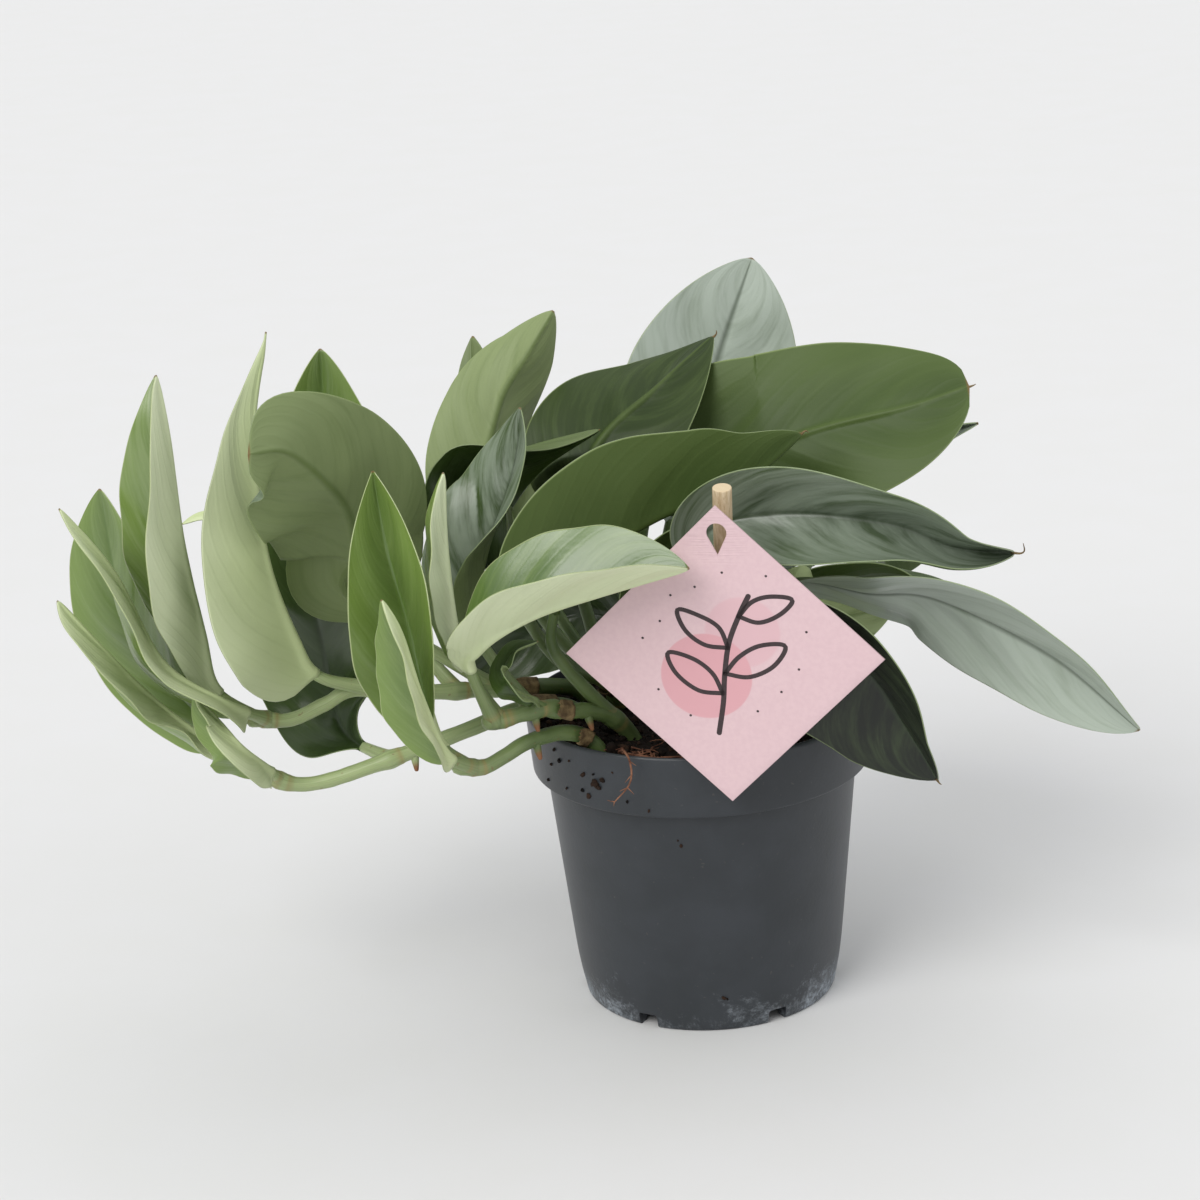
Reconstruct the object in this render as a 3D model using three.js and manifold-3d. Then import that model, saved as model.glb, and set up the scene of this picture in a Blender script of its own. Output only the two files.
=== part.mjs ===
// Potted moonlight scindapsus: leafy cuttings of a trailing aroid in a 12 cm nursery pot, with a
// square card on a wooden stick. Millimetres, +Z up, +Y away from the front, +X to the right.
// The origin is the centre of the pot's foot, on the surface that the pot stands on.

import * as THREE from 'three';
import { mergeVertices } from 'three/addons/utils/BufferGeometryUtils.js';
import Module from 'manifold-3d';

const wasm = await Module();
wasm.setup();

const deg = THREE.MathUtils.degToRad;
const smoothstep = THREE.MathUtils.smoothstep;
const lerp = THREE.MathUtils.lerp;

// Driving dimensions

const GAP = 0.35; // between pieces that touch

const POT = {
  rimRadius: 60, rimTop: 105.7, bandRadius: 58.3, bandBottom: 83.9, bodyTopRadius: 53.7,
  kinkRadius: 46.3, kinkHeight: 12, footRadius: 43.8, footWidth: 4.4, wall: 1.3,
  floorUnderside: 2.6, floorTop: 4, padRadius: 8, lipChamfer: 0.6, sides: 40,
};
const DRAIN_SLOT = { count: 6, width: 7, height: 5, innerRadius: 38, outerRadius: 50 };

const SOIL = {
  top: 100, edgeTop: 99, heap: 4.2, heapX: -42, heapY: -26, heapSpread: 17,
  lumpHeight: 0.7, lumpLength: 17, ringRadii: [49, 39, 28, 15],
};

const STICK = { radius: 3.1, top: [10.4, -69.2, 199.8], foot: [8.6, -38.5, 62], sides: 14 };
const CARD = {
  side: 73, thickness: 0.6, centre: [8.8, -71, 144.6], turn: -11.3, lean: 5.1,
  hole: { width: 6.4, length: 10.6, aboveCentre: 35 },
};

const STEM_SIDES = 8;
const STALK_SIDES = 6;
const STALK_RADIUS = { base: 2.5, blade: 1.9 };
const NODE_SWELLING = { height: 0.28, length: 3.2 };
const BLADE = { thickness: 0.9, baseHalfWidth: 2.7, tipHalfWidth: 0.4, stepLength: 11 };
const CHANNEL_ANGLE = 62; // how far the two edges of a leaf stalk's groove stand up

const COLOURS = {
  pot: 0x33373a, soil: 0x2a1c14, stick: 0xd9c39c, card: 0xdcc0c6, root: 0x8a4f33,
  stem: 0x7f9a52, young: 0x8fae5c, grown: 0x4a6b50,
};

// Stems, each from below the soil to its growing tip. `nubs` are root nubs: how far along, and which way

const STEMS = {
  vine_front: {
    radius: [3.1, 2.4],
    path: [[-20, -22, 86], [-22, -25, 99], [-28, -31, 110], [-36, -38, 116], [-44, -45, 119],
      [-50, -50, 122], [-57, -54, 122], [-64, -56, 121], [-69, -58, 121]],
    nubs: [[0.52, [0.3, -0.5, -1]], [0.8, [0.2, -0.4, -1]]],
  },
  vine_rim: {
    radius: [3.0, 2.3],
    path: [[-30, -36, 86], [-32, -37, 98], [-38, -39, 107], [-45, -44, 111], [-52, -50, 112],
      [-58, -56, 112], [-64, -61, 110], [-71, -65, 108], [-79, -68, 110]],
    nubs: [[0.6, [0.3, -0.5, -1]]],
  },
  vine_low: {
    radius: [3.0, 2.4],
    path: [[-36, -2, 84], [-38, -3, 97], [-45, -8, 107], [-60, -22, 112], [-77, -31, 109],
      [-95, -35, 104], [-110, -38, 100], [-126, -40, 96], [-137, -41, 96], [-147, -42, 101]],
    nubs: [[0.62, [0.1, -0.3, -1]]],
  },
  vine_high: {
    radius: [3.0, 2.3],
    path: [[-34, 20, 84], [-36, 18, 96], [-43, 13, 106], [-60, 1, 112], [-88, -12, 116],
      [-115, -20, 121], [-126, -22, 117], [-138, -25, 113], [-150, -28, 115]],
    nubs: [[0.66, [0.1, -0.2, -1]]],
  },
  crown_left: {
    radius: [3.6, 2.6],
    path: [[-26, 14, 84], [-27, 12, 98], [-29, 6, 108], [-32, -3, 115]],
    nubs: [],
  },
  crown_right: {
    radius: [3.6, 2.6],
    path: [[2, 8, 84], [2, 4, 98], [3, -6, 108], [2, -18, 114]],
    nubs: [],
  },
  crown_back: {
    radius: [3.6, 2.6],
    path: [[-10, 26, 84], [-11, 24, 98], [-13, 18, 108], [-15, 12, 114]],
    nubs: [],
  },
  crown_far: {
    radius: [3.4, 2.6],
    path: [[16, 30, 84], [17, 32, 98], [20, 36, 107], [24, 40, 112]],
    nubs: [],
  },
};

// Leaves. `at` is where the stalk leaves its stem, `midrib` runs on from there to the tip, `stalk` is
// the stalk's share of that length, `width` is the blade's full width before it folds, and `outline`
// gives the roundness of its base and tip. `face` is the way the upper side looks at base and tip.
// `fold` lifts the left and right half at base and tip, `curl` bends each half across, in degrees,
// and `wave` is the height, number and start of the margin's waves.

const LEAVES = [
  // Low vine: three young leaves at its tip, and one grown leaf half way
  {
    name: 'leaf_far_low', stem: 'vine_low', at: 1, age: 'young',
    width: 32, stalk: 0.12, outline: [0.7, 0.75],
    midrib: [[-158, -41, 107], [-179, -37, 123], [-193, -49, 147], [-208, -45, 165]],
    face: [[-0.9, -0.4, -1], [-1, -0.2, -0.7]], fold: [[25, 5], [25, 25]], curl: [0, -5],
  },
  {
    name: 'leaf_far_green', stem: 'vine_low', at: 0.98, age: 'young',
    width: 42, stalk: 0.14, outline: [0.7, 0.8],
    midrib: [[-158, -31, 107], [-178, -18, 124], [-191, -23, 156], [-194, -26, 197]],
    face: [[-0.4, -1, -0.3], [-0.6, -1, -0.1]], fold: [[15, 10], [10, 5]], curl: [0, 0],
  },
  {
    name: 'leaf_far_sheath', stem: 'vine_low', at: 0.95, age: 'young',
    width: 26, stalk: 0.12, outline: [0.6, 0.8],
    midrib: [[-150, -58, 115], [-158, -54, 124], [-165, -53, 133]],
    face: [[-0.8, -1, -1], [-1, -0.9, -0.6]], fold: [[40, 40], [40, 40]], curl: [0, 0],
  },
  {
    name: 'leaf_left_dark', stem: 'vine_low', at: 0.68, age: 'grown',
    width: 54, stalk: 0.17, outline: [0.85, 0.75],
    midrib: [[-123, -2, 99], [-128, 11, 113], [-131, 5, 145], [-137, 6, 178]],
    face: [[-0.4, -1, 0.8], [-0.4, -1, 0.1]], fold: [[20, 15], [0, 15]], curl: [0, 0],
  },
  // High vine: two young leaves at its tip, and four along it
  {
    name: 'leaf_far_tall', stem: 'vine_high', at: 1, age: 'young',
    width: 44, stalk: 0.12, outline: [0.8, 0.85],
    midrib: [[-161, -35, 129], [-163, -39, 149], [-165, -49, 185], [-166, -48, 218], [-169, -41, 238]],
    face: [[-1, -0.3, -0.3], [-1, -0.6, 0.1]], fold: [[45, 50], [50, 45]], curl: [0, 0],
  },
  {
    name: 'leaf_far_slim', stem: 'vine_high', at: 0.97, age: 'young',
    width: 35, stalk: 0.12, outline: [0.6, 0.8],
    midrib: [[-157, -50, 129], [-175, -51, 144], [-187, -54, 176], [-202, -55, 199]],
    face: [[-0.7, -0.6, -1], [-1, -0.2, -0.6]], fold: [[20, 20], [10, 15]], curl: [-5, -5],
  },
  {
    name: 'leaf_left_cupped', stem: 'vine_high', at: 0.7, age: 'young',
    width: 60, stalk: 0.16, outline: [0.5, 1.5],
    midrib: [[-127, -30, 130], [-133, -35, 145], [-139, -38, 169], [-141, -35, 191], [-142, -21, 217],
      [-137, -8, 243]],
    face: [[-1, -0.14, 0], [-1, -0.14, 0]], fold: [[42, 42], [55, 55]], curl: [0, 0],
  },
  {
    name: 'leaf_left_peak', stem: 'vine_high', at: 0.5, age: 'young',
    width: 47, stalk: 0.25, outline: [0.6, 0.8],
    midrib: [[-102, 9, 136], [-117, 22, 168], [-124, 27, 199], [-124, 29, 228]],
    face: [[-0.1, -1, 0.2], [0.1, -1, 0.1]], fold: [[30, 25], [35, 25]], curl: [0, 0],
  },
  {
    name: 'leaf_left_arching', stem: 'vine_high', at: 0.4, age: 'grown',
    width: 57, stalk: 0.3, outline: [0.6, 0.5],
    midrib: [[-115, -13, 151], [-112, -22, 169], [-112, -36, 189], [-119, -52, 206], [-127, -64, 217],
      [-137, -73, 219]],
    face: [[-0.2, 1, 0], [-0.3, 0.9, 0]], fold: [[12, 5], [10, 10]], curl: [0, 0],
  },
  {
    name: 'leaf_left_thin', stem: 'vine_high', at: 0.6, age: 'young',
    width: 20, stalk: 0.35, outline: [0.6, 0.8],
    midrib: [[-127, 19, 141], [-149, 25, 169], [-167, 23, 173], [-176, 21, 170]],
    face: [[-0.9, 0.6, -1], [0.1, 0.2, -1]], fold: [[10, 10], [20, 0]], curl: [0, 0],
  },
  // Vine over the rim: two young leaves
  {
    name: 'leaf_front_green', stem: 'vine_rim', at: 0.97, age: 'young',
    width: 44, stalk: 0.08, outline: [0.8, 0.95],
    midrib: [[-85, -61, 116], [-89, -58, 131], [-93, -57, 157], [-98, -54, 181], [-101, -49, 205]],
    face: [[-0.4, -0.9, 0], [0, -1, 0.3]], fold: [[45, 55], [50, 45]], curl: [5, 5],
  },
  {
    name: 'leaf_front_rolled', stem: 'vine_rim', at: 0.93, age: 'young',
    width: 28, stalk: 0.14, outline: [0.6, 0.8],
    midrib: [[-82, -76, 117], [-88, -82, 138], [-93, -83, 161], [-98, -82, 172]],
    face: [[-0.7, -0.5, -0.4], [-0.8, -0.5, -0.4]], fold: [[40, 30], [40, 35]], curl: [0, 0],
  },
  // Front vine: three leaves near its tip, a small one, and the broad one over its first node
  {
    name: 'leaf_front_slim', stem: 'vine_front', at: 0.94, age: 'young',
    width: 24, stalk: 0.24, outline: [0.65, 0.8],
    midrib: [[-71, -58, 133], [-77, -58, 147], [-79, -57, 179], [-78, -55, 205]],
    face: [[-0.9, -0.2, -0.3], [-1, -0.1, 0]], fold: [[35, 30], [35, 35]], curl: [0, 0],
  },
  {
    name: 'leaf_front_twisted', stem: 'vine_front', at: 0.8, age: 'grown',
    width: 42, stalk: 0.28, outline: [0.65, 0.85],
    midrib: [[-66, -42, 135], [-73, -32, 147], [-69, -27, 169], [-61, -25, 187], [-56, -23, 203],
      [-54, -23, 217]],
    face: [[-0.8, -0.5, 0.1], [-0.8, -0.5, 0.2]], fold: [[65, 70], [10, 5]], curl: [-5, 0],
  },
  {
    name: 'leaf_front_wide', stem: 'vine_front', at: 0.97, age: 'young',
    width: 51, stalk: 0.2, outline: [0.9, 0.8],
    midrib: [[-73, -66, 143], [-70, -71, 150], [-61, -76, 158], [-48, -80, 165], [-30, -83, 171],
      [-1, -86, 179]],
    face: [[-0.5, 0, 0.9], [-0.2, 0.1, 1]], fold: [[55, 45], [60, 30]], curl: [0, 0],
  },
  {
    name: 'leaf_small', stem: 'vine_front', at: 0.7, age: 'grown',
    width: 11, stalk: 0.2, outline: [0.6, 0.8],
    midrib: [[-60, -65, 134], [-63, -61, 139], [-59, -58, 145], [-51, -58, 148]],
    face: [[-0.6, -0.9, -1], [-0.4, -0.1, 1]], fold: [[25, 25], [25, 20]], curl: [-5, -5],
  },
  {
    name: 'leaf_middle_broad', stem: 'vine_front', at: 0.36, age: 'grown',
    width: 64, stalk: 0.32, outline: [0.35, 0.75],
    midrib: [[-46, -45, 139], [-46, -44, 153], [-42, -42, 163], [-29, -38, 172], [-12, -33, 180],
      [7, -28, 186], [23, -24, 192], [38, -20, 203]],
    face: [[-0.6, 0.2, 0.9], [-0.5, 0.3, 0.9]], fold: [[60, 72], [60, 68]], curl: [0, -6],
  },
  // Left crown: leaves over the middle
  {
    name: 'leaf_top_pale', stem: 'crown_left', at: 0.6, age: 'grown',
    width: 42, stalk: 0.42, outline: [0.55, 0.75],
    midrib: [[-52, 20, 129], [-71, 28, 168], [-65, 36, 202], [-53, 40, 221], [-44, 44, 234]],
    face: [[-0.6, 0.8, -0.3], [-0.1, 1, -0.2]], fold: [[35, 20], [35, 40]], curl: [10, 10],
  },
  {
    name: 'leaf_top_hidden', stem: 'crown_left', at: 0.5, age: 'grown',
    width: 43, stalk: 0.35, outline: [0.6, 0.8],
    midrib: [[-51, 37, 132], [-67, 60, 173], [-74, 67, 198], [-74, 68, 221]],
    face: [[0.8, 1, -0.1], [1, 1, 0]], fold: [[10, 10], [5, 15]], curl: [0, 0],
  },
  {
    name: 'leaf_middle_blue', stem: 'crown_left', at: 0.95, age: 'grown',
    width: 46, stalk: 0.4, outline: [0.6, 0.8],
    midrib: [[-47, -10, 125], [-63, 0, 147], [-78, 4, 172], [-74, 6, 187], [-53, 6, 195], [-29, 8, 200]],
    face: [[1, -0.8, 0.7], [0.2, -0.4, -1]], fold: [[20, 10], [20, 10]], curl: [0, 0],
  },
  {
    name: 'leaf_top_dark', stem: 'crown_left', at: 0.8, age: 'grown',
    width: 56, stalk: 0.42, outline: [0.55, 0.85],
    midrib: [[-36, 2, 134], [-42, 8, 166], [-30, 19, 192], [-8, 30, 209], [11, 40, 223]],
    face: [[0.1, 1, -0.4], [0.5, 0.5, -1]], fold: [[0, 5], [-5, 10]], curl: [0, 0],
  },
  {
    name: 'leaf_middle_edge', stem: 'crown_left', at: 1, age: 'grown',
    width: 26, stalk: 0.4, outline: [0.6, 0.8],
    midrib: [[-53, -10, 132], [-59, -13, 162], [-61, -8, 179], [-61, 2, 187]],
    face: [[-1, -0.1, -0.2], [-1, 0, 0.1]], fold: [[10, 10], [5, 5]], curl: [0, 0],
  },
  // Back crown: the tallest leaf, the broadest one and the curled one behind it
  {
    name: 'leaf_top_silver', stem: 'crown_back', at: 0.55, age: 'grown',
    width: 65, stalk: 0.38, outline: [0.65, 0.75],
    midrib: [[-10, 52, 140], [1, 64, 176], [14, 72, 212], [26, 74, 243]],
    face: [[0.3, -0.9, 0.2], [0.1, -1, 0]], fold: [[10, 10], [10, 5]], curl: [0, 0],
  },
  {
    name: 'leaf_right_broad', stem: 'crown_back', at: 1, age: 'grown',
    width: 64, stalk: 0.3, outline: [0.4, 0.45],
    midrib: [[-19, 12, 138], [-13, 16, 172], [8, 21, 186], [27, 12, 191], [51, 8, 198], [76, 4, 204],
      [95, 0, 211]],
    face: [[0.1, 1, -0.1], [0.4, 1, -0.9]], fold: [[5, 5], [-5, 5]], curl: [0, 0],
  },
  {
    name: 'leaf_right_curled', stem: 'crown_back', at: 0.7, age: 'grown',
    width: 39, stalk: 0.3, outline: [0.6, 0.9],
    midrib: [[17, 52, 134], [54, 60, 168], [86, 58, 179], [103, 54, 184]],
    face: [[0, -1, 0.2], [-0.2, -1, 0.1]], fold: [[25, 25], [65, 65]], curl: [10, 5],
  },
  // Right crown: leaves to the right, and those behind the card
  {
    name: 'leaf_right_silver', stem: 'crown_right', at: 0.95, age: 'grown',
    width: 54, stalk: 0.33, outline: [0.65, 0.7],
    midrib: [[-2, -35, 149], [4, -40, 175], [26, -44, 183], [63, -50, 180], [84, -51, 171],
      [104, -47, 167]],
    face: [[-0.3, -1, 0], [0.1, -1, -0.3]], fold: [[20, 20], [50, 80]], curl: [10, 60],
  },
  {
    name: 'leaf_right_long', stem: 'crown_right', at: 0.8, age: 'grown',
    width: 52, stalk: 0.27, outline: [0.85, 0.75],
    midrib: [[11, -24, 134], [32, -36, 156], [57, -44, 154], [79, -48, 152], [115, -50, 132],
      [144, -50, 105]],
    face: [[0, -0.7, -0.7], [-0.4, -0.8, -0.4]], fold: [[5, -25], [40, 30]], curl: [0, 0],
  },
  {
    name: 'leaf_right_short', stem: 'crown_right', at: 0.5, age: 'grown',
    width: 42, stalk: 0.25, outline: [0.65, 0.75],
    midrib: [[26, 8, 130], [57, 6, 140], [84, 4, 131], [104, 0, 131]],
    face: [[-0.6, 0.4, 1], [0, 0.1, 1]], fold: [[15, 30], [40, 30]], curl: [0, 0],
  },
  {
    name: 'leaf_right_drooping', stem: 'crown_right', at: 1, age: 'grown',
    width: 58, stalk: 0.33, outline: [0.65, 0.8],
    midrib: [[18, -44, 135], [35, -54, 144], [53, -58, 134], [67, -58, 112], [77, -56, 93]],
    face: [[-0.4, -1, 0], [-0.6, -1, -0.5]], fold: [[30, 25], [40, 30]], curl: [5, 5],
  },
  {
    name: 'leaf_right_under', stem: 'crown_right', at: 0.65, age: 'grown',
    width: 36, stalk: 0.3, outline: [0.6, 0.8],
    midrib: [[20, -10, 129], [35, -24, 143], [50, -19, 138], [67, -14, 139]],
    face: [[1, 0.9, -0.6], [0, 0.4, -1]], fold: [[0, 5], [-5, 5]], curl: [0, 0],
  },
  {
    name: 'leaf_behind_label', stem: 'crown_right', at: 0.9, age: 'grown',
    width: 42, stalk: 0.3, outline: [0.6, 0.8],
    midrib: [[-6, -31, 138], [-12, -28, 154], [3, -23, 166], [28, -17, 167]],
    face: [[-0.7, 0.7, 0.2], [-0.1, 0.8, 0.6]], fold: [[5, -5], [5, -10]], curl: [0, -5],
  },
  // Far crown: leaves that fill the back, lower than those in front of them
  {
    name: 'leaf_back_right', stem: 'crown_far', at: 0.9, age: 'grown',
    width: 50, stalk: 0.3, outline: [0.6, 0.8],
    midrib: [[40, 52, 134], [60, 74, 143], [71, 96, 129], [74, 112, 109]],
    face: [[0.2, 0.1, 1], [0.5, 0.4, 0.7]], fold: [[20, 20], [25, 25]], curl: [0, 0],
  },
  {
    name: 'leaf_back_middle', stem: 'crown_far', at: 0.75, age: 'grown',
    width: 52, stalk: 0.3, outline: [0.6, 0.8],
    midrib: [[22, 65, 133], [16, 83, 149], [6, 104, 142], [2, 122, 122]],
    face: [[0, 0.1, 1], [0, 0.8, 1]], fold: [[20, 20], [25, 25]], curl: [0, 0],
  },
  {
    name: 'leaf_back_left', stem: 'crown_back', at: 0.5, age: 'grown',
    width: 34, stalk: 0.3, outline: [0.6, 0.8],
    midrib: [[-22, 40, 117], [-40, 49, 122], [-60, 51, 114], [-82, 50, 100]],
    face: [[0, -1, 0.3], [0, -1, 0.2]], fold: [[10, 10], [15, 15]], curl: [0, 0],
  },
  {
    name: 'leaf_back_low', stem: 'crown_far', at: 1, age: 'grown',
    width: 31, stalk: 0.26, outline: [0.6, 0.8],
    midrib: [[12, 50, 118], [-6, 54, 124], [-24, 56, 125], [-44, 55, 118]],
    face: [[0, -1, 0.3], [0, -1, 0.2]], fold: [[10, 10], [15, 15]], curl: [0, 0],
  },
];

const DEFAULT_WAVE = [0.7, 2.2, 0.1];

// Roots that run over the soil from the front vine's foot, and one that hangs over the rim

const ROOTS = {
  crown: [-22, -45], crownRadius: 1.6, radius: 0.55, count: 6, steps: 6, stepLength: 3.6,
  headings: [-110, 20], wander: 55, above: 1.3, seed: 7, limitRadius: 54,
  overRim: [[-27, -49, 105], [-25.5, -53, 107.2], [-24.5, -57, 107.8], [-23.5, -60.5, 106.4],
    [-23, -61.8, 101.5], [-24.5, -61.2, 97], [-29, -59.4, 91.5]],
};

// Helpers for closed solids

const vec = (p) => new THREE.Vector3(...p);

function weld(geometry) {
  // Keeps positions only, joins equal vertices and drops triangles that have shrunk to a line.
  const bare = geometry.clone();
  bare.deleteAttribute('normal');
  bare.deleteAttribute('uv');
  const joined = mergeVertices(bare, 1e-3);
  const index = joined.index.array;
  const kept = [];
  for (let i = 0; i < index.length; i += 3) {
    const [a, b, c] = index.slice(i, i + 3);
    if (a !== b && b !== c && c !== a) kept.push(a, b, c);
  }
  joined.setIndex(kept);
  return joined;
}

function toSolid(geometry) {
  const joined = weld(geometry);
  return new wasm.Manifold(new wasm.Mesh({
    numProp: 3,
    vertProperties: new Float32Array(joined.attributes.position.array),
    triVerts: new Uint32Array(joined.index.array),
  }));
}

function toGeometry(solid) {
  const mesh = solid.getMesh();
  const geometry = new THREE.BufferGeometry();
  geometry.setAttribute('position', new THREE.BufferAttribute(mesh.vertProperties, 3));
  geometry.setIndex(new THREE.BufferAttribute(mesh.triVerts, 1));
  geometry.computeVertexNormals();
  return geometry;
}

function indexed(points, triangles) {
  const geometry = new THREE.BufferGeometry();
  geometry.setFromPoints(points);
  geometry.setIndex(triangles);
  return geometry;
}

function lathe(profile, sides) {
  // Turns [radius, height] points about Z.
  const geometry = new THREE.LatheGeometry(profile.map(([r, z]) => new THREE.Vector2(r, z)), sides);
  return weld(geometry.rotateX(Math.PI / 2));
}

function taperedTube(path, radiusAt, steps, sides) {
  // A closed round tube along a smooth path; radiusAt gives its radius from 0 at the start to 1.
  const curve = new THREE.CatmullRomCurve3(path.map(vec), false, 'catmullrom', 0.5);
  const frames = curve.computeFrenetFrames(steps, false);
  const points = [];
  const triangles = [];
  for (let i = 0; i <= steps; i++) {
    const centre = curve.getPointAt(i / steps);
    const radius = radiusAt(i / steps);
    for (let j = 0; j < sides; j++) {
      const angle = (2 * Math.PI * j) / sides;
      points.push(centre.clone()
        .addScaledVector(frames.normals[i], radius * Math.cos(angle))
        .addScaledVector(frames.binormals[i], radius * Math.sin(angle)));
    }
  }
  for (let i = 0; i < steps; i++) {
    for (let j = 0; j < sides; j++) {
      const a = i * sides + j;
      const b = i * sides + ((j + 1) % sides);
      triangles.push(a, b, b + sides, a, b + sides, a + sides);
    }
  }
  const last = steps * sides;
  for (let j = 1; j < sides - 1; j++) {
    triangles.push(0, j + 1, j, last, last + j, last + j + 1);
  }
  return indexed(points, triangles);
}

// The object

const plant = new THREE.Group();

function addPiece(name, geometry, colour, roughness) {
  const material = new THREE.MeshStandardMaterial({ color: colour, roughness, metalness: 0 });
  const mesh = new THREE.Mesh(geometry, material);
  mesh.name = name;
  plant.add(mesh);
  return mesh;
}

// Pot: a thin moulded shell with a wide band at the rim, a raised floor and slots through its foot

function potSolid() {
  const p = POT;
  const inner = (radius) => radius - p.wall;
  const shell = toSolid(lathe([
    [0, 0], [p.padRadius, 0], [p.padRadius + 0.5, p.floorUnderside],
    [p.footRadius - p.footWidth - 0.8, p.floorUnderside], [p.footRadius - p.footWidth, 0],
    [p.footRadius, 0], [p.kinkRadius, p.kinkHeight], [p.bodyTopRadius, p.bandBottom],
    [p.bandRadius, p.bandBottom], [p.rimRadius, p.rimTop - p.lipChamfer],
    [p.rimRadius - p.lipChamfer, p.rimTop], [inner(p.rimRadius), p.rimTop],
    [inner(p.bandRadius), p.bandBottom + p.wall], [inner(p.bodyTopRadius), p.bandBottom + p.wall],
    [inner(p.kinkRadius), p.kinkHeight], [inner(p.footRadius), p.floorTop], [0, p.floorTop],
  ], p.sides));
  let cut = shell;
  const depth = DRAIN_SLOT.outerRadius - DRAIN_SLOT.innerRadius;
  for (let i = 0; i < DRAIN_SLOT.count; i++) {
    const slot = new THREE.BoxGeometry(depth, DRAIN_SLOT.width, DRAIN_SLOT.height * 2)
      .translate(DRAIN_SLOT.innerRadius + depth / 2, 0, 0)
      .rotateZ((2 * Math.PI * i) / DRAIN_SLOT.count);
    cut = cut.subtract(toSolid(slot));
  }
  return cut;
}

addPiece('pot', toGeometry(potSolid()), COLOURS.pot, 0.5);

// Soil: fills the pot to just under the rim, heaped where the vines leave it

function soilHeight(x, y) {
  const heap = Math.exp(-((x - SOIL.heapX) ** 2 + (y - SOIL.heapY) ** 2) / SOIL.heapSpread ** 2);
  const lumps = Math.sin(x / SOIL.lumpLength * 2.1 + 1) * Math.cos(y / SOIL.lumpLength * 1.7);
  const edge = smoothstep(Math.hypot(x, y), 50, 58) * (SOIL.top - SOIL.edgeTop);
  return SOIL.top + SOIL.heap * heap + SOIL.lumpHeight * lumps - edge;
}

function soilGeometry() {
  const p = POT;
  const inside = (radius) => radius - p.wall - GAP;
  const ledge = p.bandBottom + p.wall + GAP;
  const slope = (p.rimRadius - p.bandRadius) / (p.rimTop - p.bandBottom);
  const edgeRadius = inside(p.bandRadius) + slope * (SOIL.edgeTop - ledge);
  const geometry = lathe([
    [0, p.floorTop + GAP], [inside(p.footRadius), p.floorTop + GAP],
    [inside(p.kinkRadius), p.kinkHeight], [inside(p.bodyTopRadius), ledge],
    [inside(p.bandRadius), ledge], [edgeRadius, SOIL.edgeTop],
    ...SOIL.ringRadii.map((radius) => [radius, SOIL.top]), [0, SOIL.top],
  ], p.sides);
  const position = geometry.attributes.position;
  for (let i = 0; i < position.count; i++) {
    if (position.getZ(i) > SOIL.edgeTop - 0.1) {
      position.setZ(i, soilHeight(position.getX(i), position.getY(i)));
    }
  }
  return geometry;
}

// Stems and leaf stalks

function stemRadius(stem, leaves) {
  // Tapers along the stem, and swells at each node that carries a leaf.
  const length = new THREE.CatmullRomCurve3(stem.path.map(vec)).getLength();
  return (t) => {
    let swelling = 0;
    for (const leaf of leaves) {
      swelling = Math.max(swelling, Math.exp(-(((t - leaf.at) * length / NODE_SWELLING.length) ** 2)));
    }
    return lerp(...stem.radius, t) * (1 + NODE_SWELLING.height * swelling);
  };
}

const stemCurve = (stem) => new THREE.CatmullRomCurve3(stem.path.map(vec), false, 'catmullrom', 0.5);

function leafPath(leaf) {
  return [stemCurve(STEMS[leaf.stem]).getPointAt(leaf.at).toArray(), ...leaf.midrib];
}

const leafCurve = (leaf) => new THREE.CatmullRomCurve3(leafPath(leaf).map(vec), false, 'catmullrom', 0.5);

function stalkPath(leaf) {
  const curve = leafCurve(leaf);
  const count = 5;
  const points = [];
  for (let i = 0; i <= count; i++) {
    points.push(curve.getPointAt((leaf.stalk * i) / count).toArray());
  }
  return points;
}

function stemSolid(name) {
  const stem = STEMS[name];
  const leaves = LEAVES.filter((leaf) => leaf.stem === name);
  const curve = stemCurve(stem);
  const steps = Math.max(6, Math.round(curve.getLength() / 7));
  let solid = toSolid(taperedTube(stem.path, stemRadius(stem, leaves), steps, STEM_SIDES));
  for (const leaf of leaves) {
    const size = Math.min(1, leaf.width / 30);
    const radiusAt = (t) => size * lerp(STALK_RADIUS.base, STALK_RADIUS.blade, t);
    const stalkSteps = Math.max(3, Math.round((leafCurve(leaf).getLength() * leaf.stalk) / 9));
    solid = solid.add(toSolid(taperedTube(stalkPath(leaf), radiusAt, stalkSteps, STALK_SIDES)));
  }
  for (const [at, direction] of stem.nubs) {
    const start = curve.getPointAt(at);
    const end = start.clone().addScaledVector(vec(direction).normalize(), 6.5);
    const middle = start.clone().lerp(end, 0.5);
    const path = [start, middle, end].map((p) => p.toArray());
    solid = solid.add(toSolid(taperedTube(path, (t) => lerp(1.6, 0.6, t), 2, 5)));
  }
  return solid;
}

const stems = Object.keys(STEMS).map((name) => [name, stemSolid(name)]);
for (const [name, solid] of stems) {
  addPiece(name, toGeometry(solid), COLOURS.stem, 0.55);
}

// Leaf blades: each half turns up from the midrib by its fold and bends on across by its curl

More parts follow.
